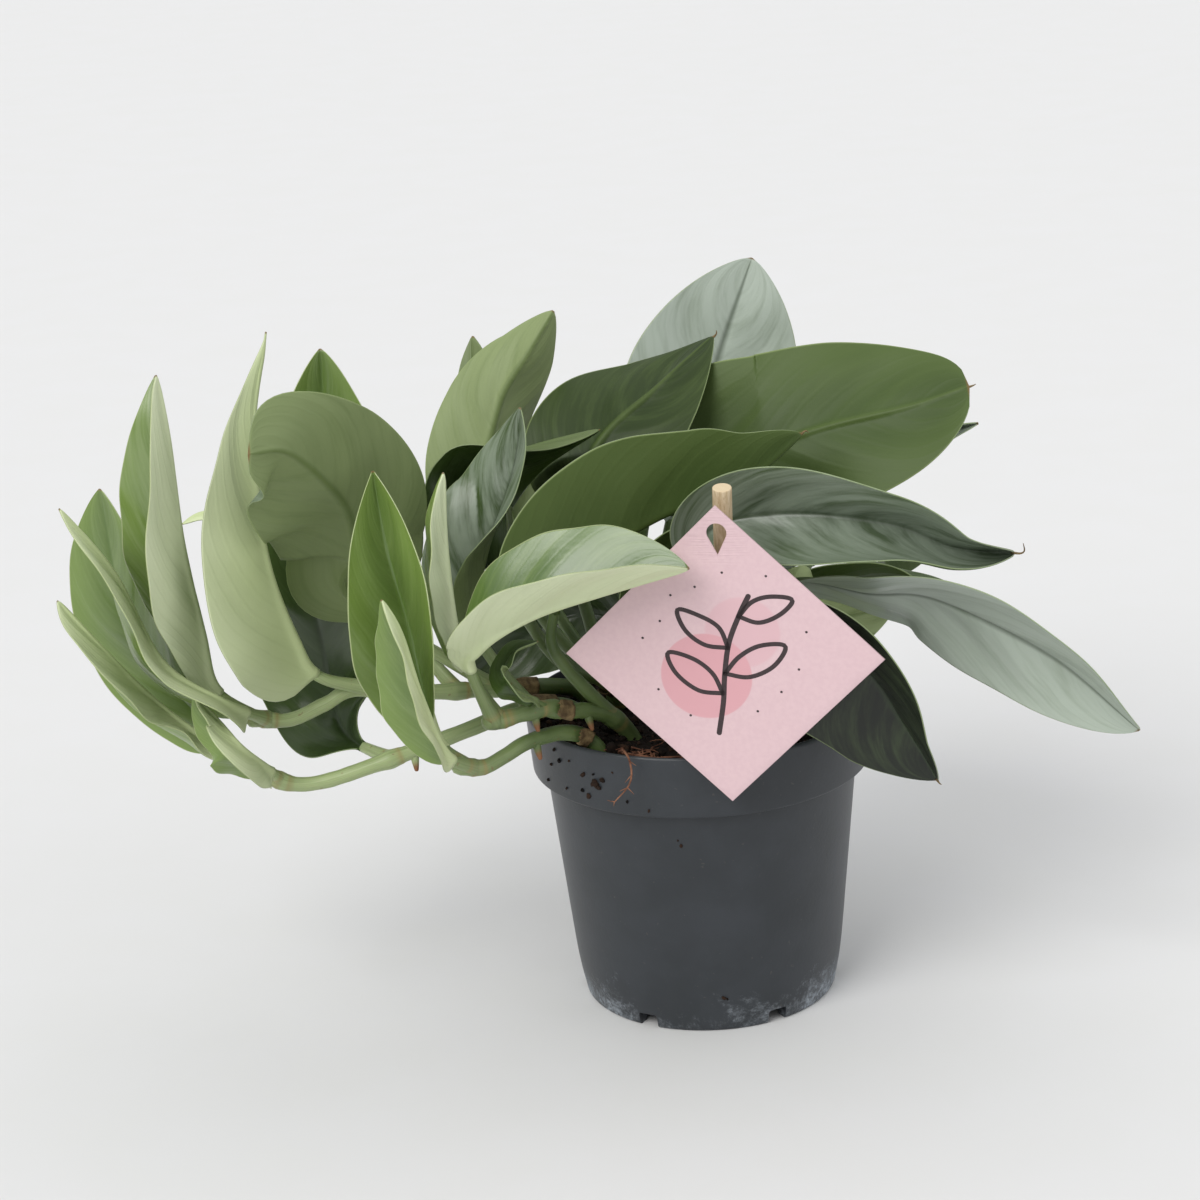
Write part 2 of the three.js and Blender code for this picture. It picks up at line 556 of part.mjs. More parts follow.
function bladeSection(leaf, u, t, side) {
  // Returns how far the half reaches out and up at its inner, middle and outer points, as shares of
  // the half width, by adding up the direction of short steps across.
  const hand = side < 0 ? 0 : 1;
  const fold = lerp(leaf.fold[0][hand], leaf.fold[1][hand], u);
  const opening = smoothstep(t, leaf.stalk * 0.6, leaf.stalk + 0.18);
  const steps = 20;
  const section = [[0, 0]];
  let out = 0;
  let up = 0;
  for (let i = 0; i < steps; i++) {
    const across = (i + 0.5) / steps;
    const angle = deg(lerp(CHANNEL_ANGLE, fold, opening) + leaf.curl[hand] * opening * across);
    out += Math.cos(angle) / steps;
    up += Math.sin(angle) / steps;
    section.push([out, up]);
  }
  return section;
}

function bladeGrid(leaf) {
  const curve = leafCurve(leaf);
  const length = curve.getLength();
  const first = leaf.stalk + (2 * GAP) / length;
  const steps = Math.max(5, Math.round(((1 - first) * length) / BLADE.stepLength));
  const spread = leaf.width > 30 ? 3 : 2;
  const [roundBase, roundTip] = leaf.outline;
  const sum = roundBase + roundTip;
  const fullest = (roundBase / sum) ** roundBase * (roundTip / sum) ** roundTip;
  const [waveHeight, waveCount, waveStart] = leaf.wave ?? DEFAULT_WAVE;
  const rows = [];
  for (let i = 0; i <= steps; i++) {
    const u = i / steps;
    const t = lerp(first, 1, u);
    const centre = curve.getPointAt(t);
    const along = curve.getTangentAt(t);
    const face = vec(leaf.face[0]).lerp(vec(leaf.face[1]), smoothstep(u, 0, 1));
    const up = face.addScaledVector(along, -face.dot(along)).normalize();
    const out = along.clone().cross(up);
    const bulge = (leaf.width / 2) * (u ** roundBase * (1 - u) ** roundTip) / fullest;
    const halfWidth = Math.max(Math.hypot(bulge, BLADE.baseHalfWidth * (1 - u)), BLADE.tipHalfWidth);
    const row = [];
    for (let j = -spread; j <= spread; j++) {
      const side = j < 0 ? -1 : 1;
      const across = Math.abs(j) / spread;
      const section = bladeSection(leaf, u, t, side);
      const [reach, lift] = section[Math.round(across * (section.length - 1))];
      const phase = 2 * Math.PI * (waveCount * t + waveStart) + (side < 0 ? 1.3 : 0);
      const wave = waveHeight * Math.sin(phase) * across ** 2 * Math.sin(Math.PI * u) ** 0.7;
      row.push(centre.clone()
        .addScaledVector(out, side * reach * halfWidth)
        .addScaledVector(up, lift * halfWidth + wave));
    }
    rows.push(row);
  }
  return rows;
}

function bladeGeometry(leaf) {
  // The upper face is the grid; the lower one lies a thickness below it, mitred at the midrib.
  const rows = bladeGrid(leaf);
  const columns = rows[0].length;
  const upper = rows.flat();
  const face = [];
  for (let i = 0; i < rows.length - 1; i++) {
    for (let j = 0; j < columns - 1; j++) {
      const a = i * columns + j;
      const b = a + 1;
      const c = a + columns;
      const d = c + 1;
      face.push(...(j < columns / 2 - 1 ? [a, b, c, b, d, c] : [a, b, d, a, d, c]));
    }
  }
  const normals = upper.map(() => new THREE.Vector3());
  const touching = upper.map(() => []);
  for (let i = 0; i < face.length; i += 3) {
    const [a, b, c] = face.slice(i, i + 3);
    const normal = upper[b].clone().sub(upper[a]).cross(upper[c].clone().sub(upper[a])).normalize();
    for (const corner of [a, b, c]) {
      normals[corner].add(normal);
      touching[corner].push(normal);
    }
  }
  const lower = upper.map((point, i) => {
    const normal = normals[i].normalize();
    const slant = Math.min(...touching[i].map((other) => other.dot(normal)));
    return point.clone().addScaledVector(normal, -BLADE.thickness / Math.max(slant, 0.55));
  });
  const shift = upper.length;
  const triangles = [...face];
  for (let i = 0; i < face.length; i += 3) {
    triangles.push(face[i] + shift, face[i + 2] + shift, face[i + 1] + shift);
  }
  const rim = [];
  for (let j = 0; j < columns - 1; j++) rim.push(j);
  for (let i = 0; i < rows.length - 1; i++) rim.push(i * columns + columns - 1);
  for (let j = columns - 1; j > 0; j--) rim.push((rows.length - 1) * columns + j);
  for (let i = rows.length - 1; i > 0; i--) rim.push(i * columns);
  rim.forEach((a, k) => {
    const b = rim[(k + 1) % rim.length];
    triangles.push(a, a + shift, b + shift, a, b + shift, b);
  });
  return indexed([...upper, ...lower], triangles);
}

for (const leaf of LEAVES) {
  const young = leaf.age === 'young';
  addPiece(leaf.name, bladeGeometry(leaf), young ? COLOURS.young : COLOURS.grown, 0.45);
}

// Card and stick

function rodGeometry(from, to, radius, sides) {
  const axis = vec(to).sub(vec(from));
  const turn = new THREE.Quaternion()
    .setFromUnitVectors(new THREE.Vector3(0, 1, 0), axis.clone().normalize());
  const middle = vec(from).lerp(vec(to), 0.5);
  return new THREE.CylinderGeometry(radius, radius, axis.length(), sides)
    .applyQuaternion(turn)
    .translate(...middle.toArray());
}

const stick = rodGeometry(STICK.foot, STICK.top, STICK.radius, STICK.sides);
addPiece('label_stick', weld(stick), COLOURS.stick, 0.8);

function cardGeometry() {
  const half = CARD.side / Math.SQRT2;
  const outline = new THREE.Shape([
    new THREE.Vector2(0, -half), new THREE.Vector2(half, 0),
    new THREE.Vector2(0, half), new THREE.Vector2(-half, 0),
  ]);
  const { width, length, aboveCentre } = CARD.hole;
  const radius = width / 2;
  const roundCentre = aboveCentre + length - radius;
  const hole = new THREE.Path();
  hole.moveTo(0, aboveCentre);
  hole.lineTo(radius, roundCentre);
  hole.absarc(0, roundCentre, radius, 0, Math.PI, false);
  hole.closePath();
  outline.holes.push(hole);
  return new THREE.ExtrudeGeometry(outline, { depth: CARD.thickness, bevelEnabled: false, curveSegments: 8 });
}

const card = addPiece('label_card', weld(cardGeometry()), COLOURS.card, 0.6);
card.position.set(...CARD.centre);
card.rotation.set(deg(90 + CARD.lean), 0, deg(CARD.turn), 'ZXY');

// Roots on the soil

function randomFrom(seed) {
  let state = seed;
  return () => {
    state = (state * 16807) % 2147483647;
    return state / 2147483647;
  };
}

function rootsSolid() {
  const random = randomFrom(ROOTS.seed);
  const [crownX, crownY] = ROOTS.crown;
  const lift = (x, y) => soilHeight(x, y) + ROOTS.radius + ROOTS.above;
  const crown = [crownX, crownY, lift(crownX, crownY)];
  let solid = toSolid(new THREE.IcosahedronGeometry(ROOTS.crownRadius, 1).translate(...crown));
  const strand = (path) => taperedTube(path, (t) => ROOTS.radius * lerp(1.1, 0.7, t), path.length, 4);
  for (let i = 0; i < ROOTS.count; i++) {
    let heading = deg(lerp(...ROOTS.headings, (i + random()) / ROOTS.count));
    let [x, y] = ROOTS.crown;
    const path = [crown];
    for (let step = 0; step < ROOTS.steps; step++) {
      heading += deg(ROOTS.wander * (random() - 0.5));
      x += ROOTS.stepLength * Math.cos(heading);
      y += ROOTS.stepLength * Math.sin(heading);
      if (Math.hypot(x, y) > ROOTS.limitRadius) break;
      path.push([x, y, lift(x, y)]);
    }
    if (path.length > 2) solid = solid.add(toSolid(strand(path)));
  }
  return solid.add(toSolid(strand([crown, ...ROOTS.overRim])));
}

const roots = rootsSolid();
addPiece('surface_roots', toGeometry(roots), COLOURS.root, 0.8);

// Plain holes in the soil for the stems and the stick

let soil = toSolid(soilGeometry());
for (const name of Object.keys(STEMS)) {
  const stem = STEMS[name];
  const start = vec(stem.path[0]).add(new THREE.Vector3(0, 0, -GAP));
  const path = [start.toArray(), ...stem.path.slice(1)];
  const radiusAt = (t) => lerp(...stem.radius, t) * 1.1 + 2 * GAP;
  const steps = Math.max(6, Math.round(stemCurve(stem).getLength() / 7));
  soil = soil.subtract(toSolid(taperedTube(path, radiusAt, steps, 12)));
}
const below = [STICK.foot[0], STICK.foot[1], STICK.foot[2] - GAP];
soil = soil.subtract(toSolid(rodGeometry(below, STICK.top, STICK.radius + GAP, STICK.sides)));
addPiece('soil', toGeometry(soil), COLOURS.soil, 0.95);

export default plant;
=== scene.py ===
# Potted moonlight scindapsus: leafy cuttings of a trailing aroid in a nursery pot, with a square
# card on a wooden stick. Metres, +Z up, +Y away from the front, +X to the right. The origin is the
# centre of the pot's foot. Sizes are written in millimetres and put into the meshes times MM.

import math
import bpy
import numpy as np
from mathutils import Matrix


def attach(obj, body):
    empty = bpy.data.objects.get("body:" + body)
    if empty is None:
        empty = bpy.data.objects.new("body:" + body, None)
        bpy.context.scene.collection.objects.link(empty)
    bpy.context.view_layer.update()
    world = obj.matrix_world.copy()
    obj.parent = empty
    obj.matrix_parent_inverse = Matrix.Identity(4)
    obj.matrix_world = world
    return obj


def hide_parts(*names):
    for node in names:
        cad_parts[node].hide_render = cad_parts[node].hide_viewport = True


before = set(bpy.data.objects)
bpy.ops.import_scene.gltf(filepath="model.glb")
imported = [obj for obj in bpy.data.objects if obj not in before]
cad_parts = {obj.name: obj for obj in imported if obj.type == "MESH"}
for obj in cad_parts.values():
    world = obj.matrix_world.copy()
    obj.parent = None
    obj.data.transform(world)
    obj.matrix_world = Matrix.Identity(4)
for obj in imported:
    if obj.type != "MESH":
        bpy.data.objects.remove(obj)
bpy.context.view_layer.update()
MM = 0.001

# Camera, floor and studio light: eye level a little above the leaves, a plain pale floor that runs
# on out of view, a soft window-like key from the left and front, and an even white surround.

EYE = (0.0, -1.0, 0.46371)
PITCH, YAW, ROLL = 0.3108, -0.032, -0.0556  # radians
SENSOR_MM, FOCAL_MM = 36.0, 92.33


def node(tree, kind, inputs=None, **settings):
    """Adds a shader node. inputs gives a value, or another node's output, for each socket."""
    made = tree.nodes.new(kind)
    for key, value in settings.items():
        setattr(made, key, value)
    for key, value in (inputs or {}).items():
        if isinstance(value, bpy.types.NodeSocket):
            tree.links.new(value, made.inputs[key])
        else:
            made.inputs[key].default_value = value
    return made


def ramp(tree, value, low, high, out_low=0.0, out_high=1.0):
    """A smooth step of value from low to high, put out between out_low and out_high."""
    made = node(tree, "ShaderNodeMapRange", {0: value, 1: low, 2: high, 3: out_low, 4: out_high},
                interpolation_type="SMOOTHSTEP")
    return made.outputs[0]


def blend_colours(tree, share, first, second):
    """The output of a colour Mix node; first shows where share is 0."""
    return node(tree, "ShaderNodeMix", {0: share, 6: first, 7: second}, data_type="RGBA").outputs[2]


def rgb(red, green, blue):
    """A colour given by its screen values from 0 to 255, as linear light."""
    value = np.array([red, green, blue]) / 255.0
    linear = np.where(value <= 0.04045, value / 12.92, ((value + 0.055) / 1.055) ** 2.4)
    return (*[float(v) for v in linear], 1.0)


def noise(tree, place, scale, detail=3.0, roughness=0.5, distortion=0.0):
    """Noise at scale cells a unit of place, from 0 to 1."""
    made = node(tree, "ShaderNodeTexNoise",
                {"Vector": place, "Scale": scale, "Detail": detail, "Roughness": roughness,
                 "Distortion": distortion})
    return made.outputs[0]


def object_place(tree):
    """Places in the object's own space, in metres."""
    return node(tree, "ShaderNodeTexCoord").outputs["Object"]


def bump(tree, height, strength, distance, under=None, invert=False):
    """The normal bent by a height, on top of the bump under it if there is one."""
    inputs = {"Strength": strength, "Distance": distance, "Height": height}
    inputs.update({} if under is None else {"Normal": under})
    return node(tree, "ShaderNodeBump", inputs, invert=invert).outputs[0]


def feed(tree, shader, **outputs):
    """Links each output into the shader's socket of that name."""
    for key, output in outputs.items():
        tree.links.new(output, shader.inputs[key.replace("_", " ")])


def new_material(name, **constants):
    """A material, its node tree and its Principled BSDF, with plain values set on the shader."""
    material = bpy.data.materials.new(name)
    material.use_nodes = True
    shader = material.node_tree.nodes["Principled BSDF"]
    for key, value in constants.items():
        shader.inputs[key.replace("_", " ")].default_value = value
    return material, material.node_tree, shader


def mottled_material(name, grain, span, colours, relief=None, **constants):
    """Two colours mixed by noise, with a bump of the same noise where relief gives its strength and
    depth. grain is the noise's scale, detail and roughness, and span its values for the colours."""
    material, tree, shader = new_material(name, **constants)
    figure = noise(tree, object_place(tree), *grain)
    feed(tree, shader, Base_Color=blend_colours(tree, ramp(tree, figure, *span), *colours))
    if relief:
        feed(tree, shader, Normal=bump(tree, figure, *relief))
    return material


def new_piece(name, vertices, faces, materials, material_index=None, uv=None, values=None):
    """Puts vertices, in millimetres, and faces into a smooth mesh object at the origin. uv is given
    for each vertex, and values names other figures that each vertex carries."""
    mesh = bpy.data.meshes.new(name)
    mesh.from_pydata((np.asarray(vertices, float) * MM).tolist(), [], faces)
    mesh.polygons.foreach_set("use_smooth", [True] * len(mesh.polygons))
    for material in materials:
        mesh.materials.append(material)
    if material_index is not None:
        mesh.polygons.foreach_set("material_index", np.asarray(material_index, np.int32))
    corner = np.empty(len(mesh.loops), np.int32)
    mesh.loops.foreach_get("vertex_index", corner)
    if uv is not None:
        layer = mesh.uv_layers.new(name="UVMap")
        layer.data.foreach_set("uv", np.asarray(uv, np.float32)[corner].ravel())
    for key, figures in (values or {}).items():
        layer = mesh.attributes.new(key, "FLOAT", "POINT")
        layer.data.foreach_set("value", np.asarray(figures, np.float32))
    mesh.update()
    piece = bpy.data.objects.new(name, mesh)
    bpy.context.scene.collection.objects.link(piece)
    return piece


def unit(vectors):
    """Each vector at length one."""
    return vectors / np.maximum(np.linalg.norm(vectors, axis=-1, keepdims=True), 1e-9)


def placed(position, right, up, back):
    """The matrix that moves a camera or light to position and turns it to these three ways."""
    return Matrix.Translation(position) @ Matrix(np.array([right, up, back]).T.tolist()).to_4x4()


forward = np.array([math.sin(YAW) * math.cos(PITCH), math.cos(YAW) * math.cos(PITCH), -math.sin(PITCH)])
level = np.array([math.cos(YAW), -math.sin(YAW), 0.0])
upright = np.cross(level, forward)
picture_x = level * math.cos(ROLL) + upright * math.sin(ROLL)
picture_y = upright * math.cos(ROLL) - level * math.sin(ROLL)
camera = bpy.data.objects.new("camera", bpy.data.cameras.new("camera"))
camera.data.sensor_width = SENSOR_MM
camera.data.lens = FOCAL_MM
camera.data.clip_start = 0.02
camera.matrix_world = placed(EYE, picture_x, picture_y, -forward)
bpy.context.scene.collection.objects.link(camera)
bpy.context.scene.camera = camera
bpy.context.scene.view_settings.view_transform = "Standard"

surround = bpy.data.worlds.new("surround")
surround.use_nodes = True
background = surround.node_tree.nodes["Background"]
background.inputs["Color"].default_value = (0.97, 0.98, 1.0, 1.0)
background.inputs["Strength"].default_value = 0.65
bpy.context.scene.world = surround

WIDE_LIGHTS = [  # name, where it shines from, width in degrees, strength and colour
    ("key_window", (-0.9, -1.3, 1.5), 34, 1.7, (1.0, 0.99, 0.97)),
    ("top_panel", (0.25, 0.35, 1.7), 60, 0.45, (1.0, 1.0, 1.0)),
    ("right_panel", (1.5, -0.7, 0.9), 40, 0.3, (0.97, 0.985, 1.0)),
]
LIT_PLACE = (0.0, 0.0, 0.12)
for name, position, width, strength, colour in WIDE_LIGHTS:
    back = unit(np.subtract(position, LIT_PLACE))
    side = unit(np.cross((0.0, 0.0, 1.0), back))
    light = bpy.data.objects.new(name, bpy.data.lights.new(name, "SUN"))
    light.data.angle = math.radians(width)
    light.data.energy = strength
    light.data.color = colour
    light.matrix_world = placed(position, side, np.cross(back, side), back)
    bpy.context.scene.collection.objects.link(light)

FLOOR_REACH = 6000
floor_material = mottled_material("floor_paper", (24.0, 4.0), (0.2, 0.8),
                                  (rgb(222, 222, 221), rgb(223, 223, 223)),
                                  Roughness=0.75, Specular_IOR_Level=0.25)
corners = [(x * FLOOR_REACH, y * FLOOR_REACH, 0) for x, y in ((-1, -1), (1, -1), (1, 1), (-1, 1))]
floor = new_piece("floor", corners, [(0, 1, 2, 3)], [floor_material])

# Pot: a thin injection-moulded nursery pot of dark grey polypropylene, with a wide band at the rim,
# a raised floor on a narrow foot, six slots through the foot, and lime scale from hard water.

POT_SIDES = 288
POT_PROFILE = [  # radius, height and fillet of each corner, from the floor's middle to the inside
    (8.0, 0.0, 0.4), (8.5, 2.6, 0.4), (38.6, 2.6, 0.4), (39.4, 0.0, 0.4), (43.8, 0.0, 1.1),
    (46.3, 12.0, 9.0), (53.7, 83.5, 0.5), (58.2, 83.9, 1.0), (59.95, 104.9, 0.9), (59.4, 105.7, 0.5),
    (58.75, 105.7, 0.4), (57.0, 85.2, 0.5), (52.4, 85.2, 0.5), (45.0, 12.0, 6.0), (42.5, 4.0, 1.0),
]
SLOT = {"count": 6, "width": 7.0, "height": 5.0, "inner": 38.0, "outer": 50.0, "fillet": 0.8}


def math_node(tree, operation, *values, clamp=False):
    """The output of a Math node on one, two or three values."""
    made = node(tree, "ShaderNodeMath", dict(enumerate(values)), operation=operation, use_clamp=clamp)
    return made.outputs[0]


def times(tree, first, second, clamp=False):
    """The product of two values."""
    return math_node(tree, "MULTIPLY", first, second, clamp=clamp)


def layered(tree, colour, *layers):
    """A colour with others laid over it in turn, each by its own share."""
    for share, over in layers:
        colour = blend_colours(tree, share, colour, over)
    return colour


def parts_of(tree, vector):
    """The three parts of a vector."""
    return node(tree, "ShaderNodeSeparateXYZ", {0: vector}).outputs


def fillet_corners(corners, steps=6):
    """Runs through the corners and swaps each for a curve: the quadratic through the two points a
    fillet away from the corner, with the corner as its control point."""
    corner = np.array([c[:2] for c in corners], float)
    size = np.array([c[2] for c in corners], float)[:, None]
    before = np.vstack([[0.0, corner[0, 1]], corner[:-1]]) - corner
    after = np.vstack([corner[1:], [0.0, corner[-1, 1]]]) - corner
    start = corner + before * np.minimum(size / np.linalg.norm(before, axis=1)[:, None], 0.49)
    end = corner + after * np.minimum(size / np.linalg.norm(after, axis=1)[:, None], 0.49)
    s = np.linspace(0.0, 1.0, steps)[None, :, None]
    start, middle, end = start[:, None], corner[:, None], end[:, None]
    return ((1 - s) ** 2 * start + 2 * s * (1 - s) * middle + s ** 2 * end).reshape(-1, 2)


def grid_faces(rows, columns, closed):
    """Quads between the rows of a grid of points, with the last column joined to the first if
    closed. A face looks out where columns run anticlockwise seen from the last row."""
    i = np.arange(rows - 1)[:, None]
    j = np.arange(columns if closed else columns - 1)[None, :]
    k = (j + 1) % columns
    near, far = i * columns, (i + 1) * columns
    return np.stack([near + j, near + k, far + k, far + j], -1).reshape(-1, 4)


def round_turn(count):
    """Angles once round, evenly apart."""
    return np.linspace(0.0, 2 * np.pi, count, endpoint=False)


def closed_tube(rows, sides):
    """Faces for rows of ring points with one more point after them for each end, which closes it."""
    j = np.arange(sides)
    k = (j + 1) % sides
    point, last = np.full(sides, rows * sides), (rows - 1) * sides
    start, end = np.stack([point, k, j], -1), np.stack([point + 1, last + j, last + k], -1)
    return grid_faces(rows, sides, True).tolist() + start.tolist() + end.tolist()


def turned_rings(profile, angle):
    """Turns radius and height pairs about Z, to a ring of points for each."""
    radius, height = profile[:, :1], profile[:, 1:]
    return np.stack([radius * np.cos(angle), radius * np.sin(angle), height + 0 * angle], -1)


def turned_solid(profile, sides):
    """A solid of revolution, with a single point on the axis at each end."""
    rings = turned_rings(profile, round_turn(sides)[None, :])
    points = np.vstack([rings.reshape(-1, 3), [0, 0, profile[0, 1]], [0, 0, profile[-1, 1]]])
    return points, closed_tube(len(profile), sides)


def joined(parts):
    """Puts parts into one. A part is its points, its faces, and any figures for each point."""
    faces, shift = [], 0
    for part in parts:
        faces += [[int(index) + shift for index in face] for face in part[1]]
        shift += len(part[0])
    points, _, *figures = zip(*parts)
    return (np.concatenate(points), faces, *[np.concatenate(figure) for figure in figures])


def slot_cutter():
    """A bar for each slot: the slot's outline, with rounded upper corners, carried out along a
    radius from inside the foot to outside it."""
    half, fillet = SLOT["width"] / 2, SLOT["fillet"]
    turn = np.linspace(0.0, np.pi / 2, 6)
    side = np.concatenate([[half], half - fillet + fillet * np.cos(turn)])
    up = np.concatenate([[-3.0], SLOT["height"] - fillet + fillet * np.sin(turn)])
    outline = np.vstack([np.stack([side, up], -1), np.stack([-side, up], -1)[::-1]])
    count = len(outline)
    ends = [range(count)[::-1], range(count, 2 * count)]
    faces = grid_faces(2, count, True).tolist() + ends
    bars = []
    for angle in round_turn(SLOT["count"]):
        out = np.array([np.cos(angle), np.sin(angle), 0.0])
        across = np.array([-np.sin(angle), np.cos(angle), 0.0])
        flat = outline[:, :1] * across + outline[:, 1:] * np.array([0.0, 0.0, 1.0])
        bars.append((np.concatenate([flat + SLOT["inner"] * out, flat + SLOT["outer"] * out]), faces))
    return joined(bars)


pot_material, tree, shader = new_material("pot_plastic", Specular_IOR_Level=0.45)
place = object_place(tree)
across, _, height = parts_of(tree, place)
cloudy = noise(tree, place, 38.0, 6.0, 0.6)
plastic = blend_colours(tree, ramp(tree, cloudy, 0.3, 0.75), rgb(43, 47, 51), rgb(51, 55, 60))
low_down = ramp(tree, height, 0.028, 0.002)
very_low = ramp(tree, height, 0.009, 0.002)
flank = times(tree, ramp(tree, math_node(tree, "ABSOLUTE", across), 0.022, 0.036), low_down)
limit = 0.68
for share, amount in ((low_down, 0.16), (very_low, 0.06), (flank, 0.16)):
    limit = math_node(tree, "SUBTRACT", limit, times(tree, share, amount))
above_limit = math_node(tree, "SUBTRACT", noise(tree, place, 62.0, 9.0, 0.8, 0.3), limit)
speckle = ramp(tree, noise(tree, place, 560.0, 3.0, 0.7), 0.34, 0.64, 0.12, 1.0)
scale_mask = times(tree, ramp(tree, above_limit, 0.0, 0.26, 0.0, 0.8), speckle)
dust = times(tree, ramp(tree, noise(tree, place, 420.0, 3.0, 0.7), 0.66, 0.74), 0.35)
satin = bump(tree, noise(tree, place, 900.0, 2.0), 0.25, 0.00012)
slow = bump(tree, cloudy, 0.5, 0.0004, satin)
feed(tree, shader,
     Base_Color=layered(tree, plastic, (scale_mask, rgb(168, 176, 184)), (dust, rgb(92, 88, 82))),
     Roughness=ramp(tree, scale_mask, 0.0, 1.0, 0.40, 0.85),
     Normal=bump(tree, scale_mask, 0.6, 0.0004, slow))

pot = new_piece("pot_shell", *turned_solid(fillet_corners(POT_PROFILE), POT_SIDES), [pot_material])
cutter = new_piece("slot_cutter", *slot_cutter(), [pot_material])
cut = pot.modifiers.new("slots", "BOOLEAN")
cut.operation = "DIFFERENCE"
cut.solver = "EXACT"
cut.object = cutter
cut_mesh = bpy.data.meshes.new_from_object(pot.evaluated_get(bpy.context.evaluated_depsgraph_get()))
pot.modifiers.clear()
pot.data = cut_mesh
bpy.data.objects.remove(cutter)
pot.data.set_sharp_from_angle(angle=math.radians(38))
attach(pot, "root")
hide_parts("pot")

# Soil: dark peat and bark that fills the pot to just under the rim, heaped where the vines leave it,
# with loose crumbs on top, and a few that have fallen and stick to the pot.

SOIL = {"top": 100.0, "edge_drop": 1.0, "heap": 4.2, "heap_at": (-42.0, -26.0), "spread": 17.0,
        "lump": 0.7, "lump_length": 17.0, "reach": 56.0, "edge_radius": 57.6,
        "wall": [(42.1, 4.35), (44.6, 12.0), (52.0, 85.5), (56.7, 85.6)]}  # radius and height
SOIL_SIDES, SOIL_RINGS, CLODS, FINE_CLODS = 240, 96, 1500, 1300
CRUMBLE = [(0.55, 3.1, 1), (0.4, 1.4, 2), (0.25, 0.8, 3)]  # height, cell and seed of each noise


def own_figure(tree, name):
    """A figure that the mesh carries for each of its vertices."""
    return node(tree, "ShaderNodeAttribute", attribute_name=name).outputs["Fac"]


def scattered(seed):
    """A source of random numbers that gives the same row each time."""
    return np.random.default_rng(seed)


def lattice_noise(x, y, cell, seed):
    """Smooth noise from -1 to 1: random values on a square lattice of that cell, eased between."""
    table = scattered(seed).uniform(-1, 1, (64, 64))
    gx, gy = x / cell + 500, y / cell + 500
    ix, iy = np.floor(gx).astype(int), np.floor(gy).astype(int)
    fx, fy = gx - ix, gy - iy
    fx, fy = fx * fx * (3 - 2 * fx), fy * fy * (3 - 2 * fy)
    at = lambda a, b: table[a % 64, b % 64]
    low = at(ix, iy) * (1 - fx) + at(ix + 1, iy) * fx
    high = at(ix, iy + 1) * (1 - fx) + at(ix + 1, iy + 1) * fx
    return low * (1 - fy) + high * fy


def smooth_step(value, low, high):
    """Eases from 0 at low to 1 at high."""
    share = np.clip((value - low) / (high - low), 0.0, 1.0)
    return share * share * (3 - 2 * share)


def soil_height(x, y):
    """Level top, a round heap at the left front, slow lumps, and a fall to the pot's wall."""
    away = (x - SOIL["heap_at"][0]) ** 2 + (y - SOIL["heap_at"][1]) ** 2
    heap = SOIL["heap"] * np.exp(-away / SOIL["spread"] ** 2)
    x_turn, y_turn = x / SOIL["lump_length"] * 2.1 + 1, y / SOIL["lump_length"] * 1.7
    lumps = SOIL["lump"] * np.sin(x_turn) * np.cos(y_turn)
    edge = SOIL["edge_drop"] * smooth_step(np.hypot(x, y), 50, 58)
    return SOIL["top"] + heap + lumps - edge


def soil_body():
    """Rings of points over the top, with crumbly noise on the height, closed by the pot's inside."""
    angle = round_turn(SOIL_SIDES)[None, :]
    radius = (SOIL["edge_radius"] * np.linspace(1.0, 0.012, SOIL_RINGS) ** 0.8)[:, None]
    x, y = radius * np.cos(angle), radius * np.sin(angle)
    crumbly = sum(size * lattice_noise(x, y, cell, seed) for size, cell, seed in CRUMBLE)
    top = np.stack([x, y, soil_height(x, y) + crumbly - 0.3], -1)
    rows = np.concatenate([turned_rings(np.array(SOIL["wall"]), angle), top])
    points = np.vstack([rows.reshape(-1, 3), [0, 0, SOIL["wall"][0][1]], [0, 0, rows[-1, :, 2].mean()]])
    return points, closed_tube(len(rows), SOIL_SIDES)


def small_ball(subdivided):
    """The corners and faces of an icosahedron on the unit sphere, each face cut in four if asked."""
    g = (1 + 5 ** 0.5) / 2
    corner = np.array([(-1, g, 0), (1, g, 0), (-1, -g, 0), (1, -g, 0), (0, -1, g), (0, 1, g),
                       (0, -1, -g), (0, 1, -g), (g, 0, -1), (g, 0, 1), (-g, 0, -1), (-g, 0, 1)])
    face = np.array([(0, 11, 5), (0, 5, 1), (0, 1, 7), (0, 7, 10), (0, 10, 11), (1, 5, 9), (5, 11, 4),
                     (11, 10, 2), (10, 7, 6), (7, 1, 8), (3, 9, 4), (3, 4, 2), (3, 2, 6), (3, 6, 8),
                     (3, 8, 9), (4, 9, 5), (2, 4, 11), (6, 2, 10), (8, 6, 7), (9, 8, 1)])
    if subdivided:
        a, b, c = corner[face[:, 0]], corner[face[:, 1]], corner[face[:, 2]]
        ab, bc, ca = (a + b) / 2, (b + c) / 2, (c + a) / 2
        every = np.stack([a, ab, ca, ab, b, bc, ca, bc, c, ab, bc, ca], 1).reshape(-1, 3)
        corner, index = np.unique(np.round(every, 6), axis=0, return_inverse=True)
        face = index.reshape(-1, 3)
    return corner / np.linalg.norm(corner, axis=1)[:, None], face


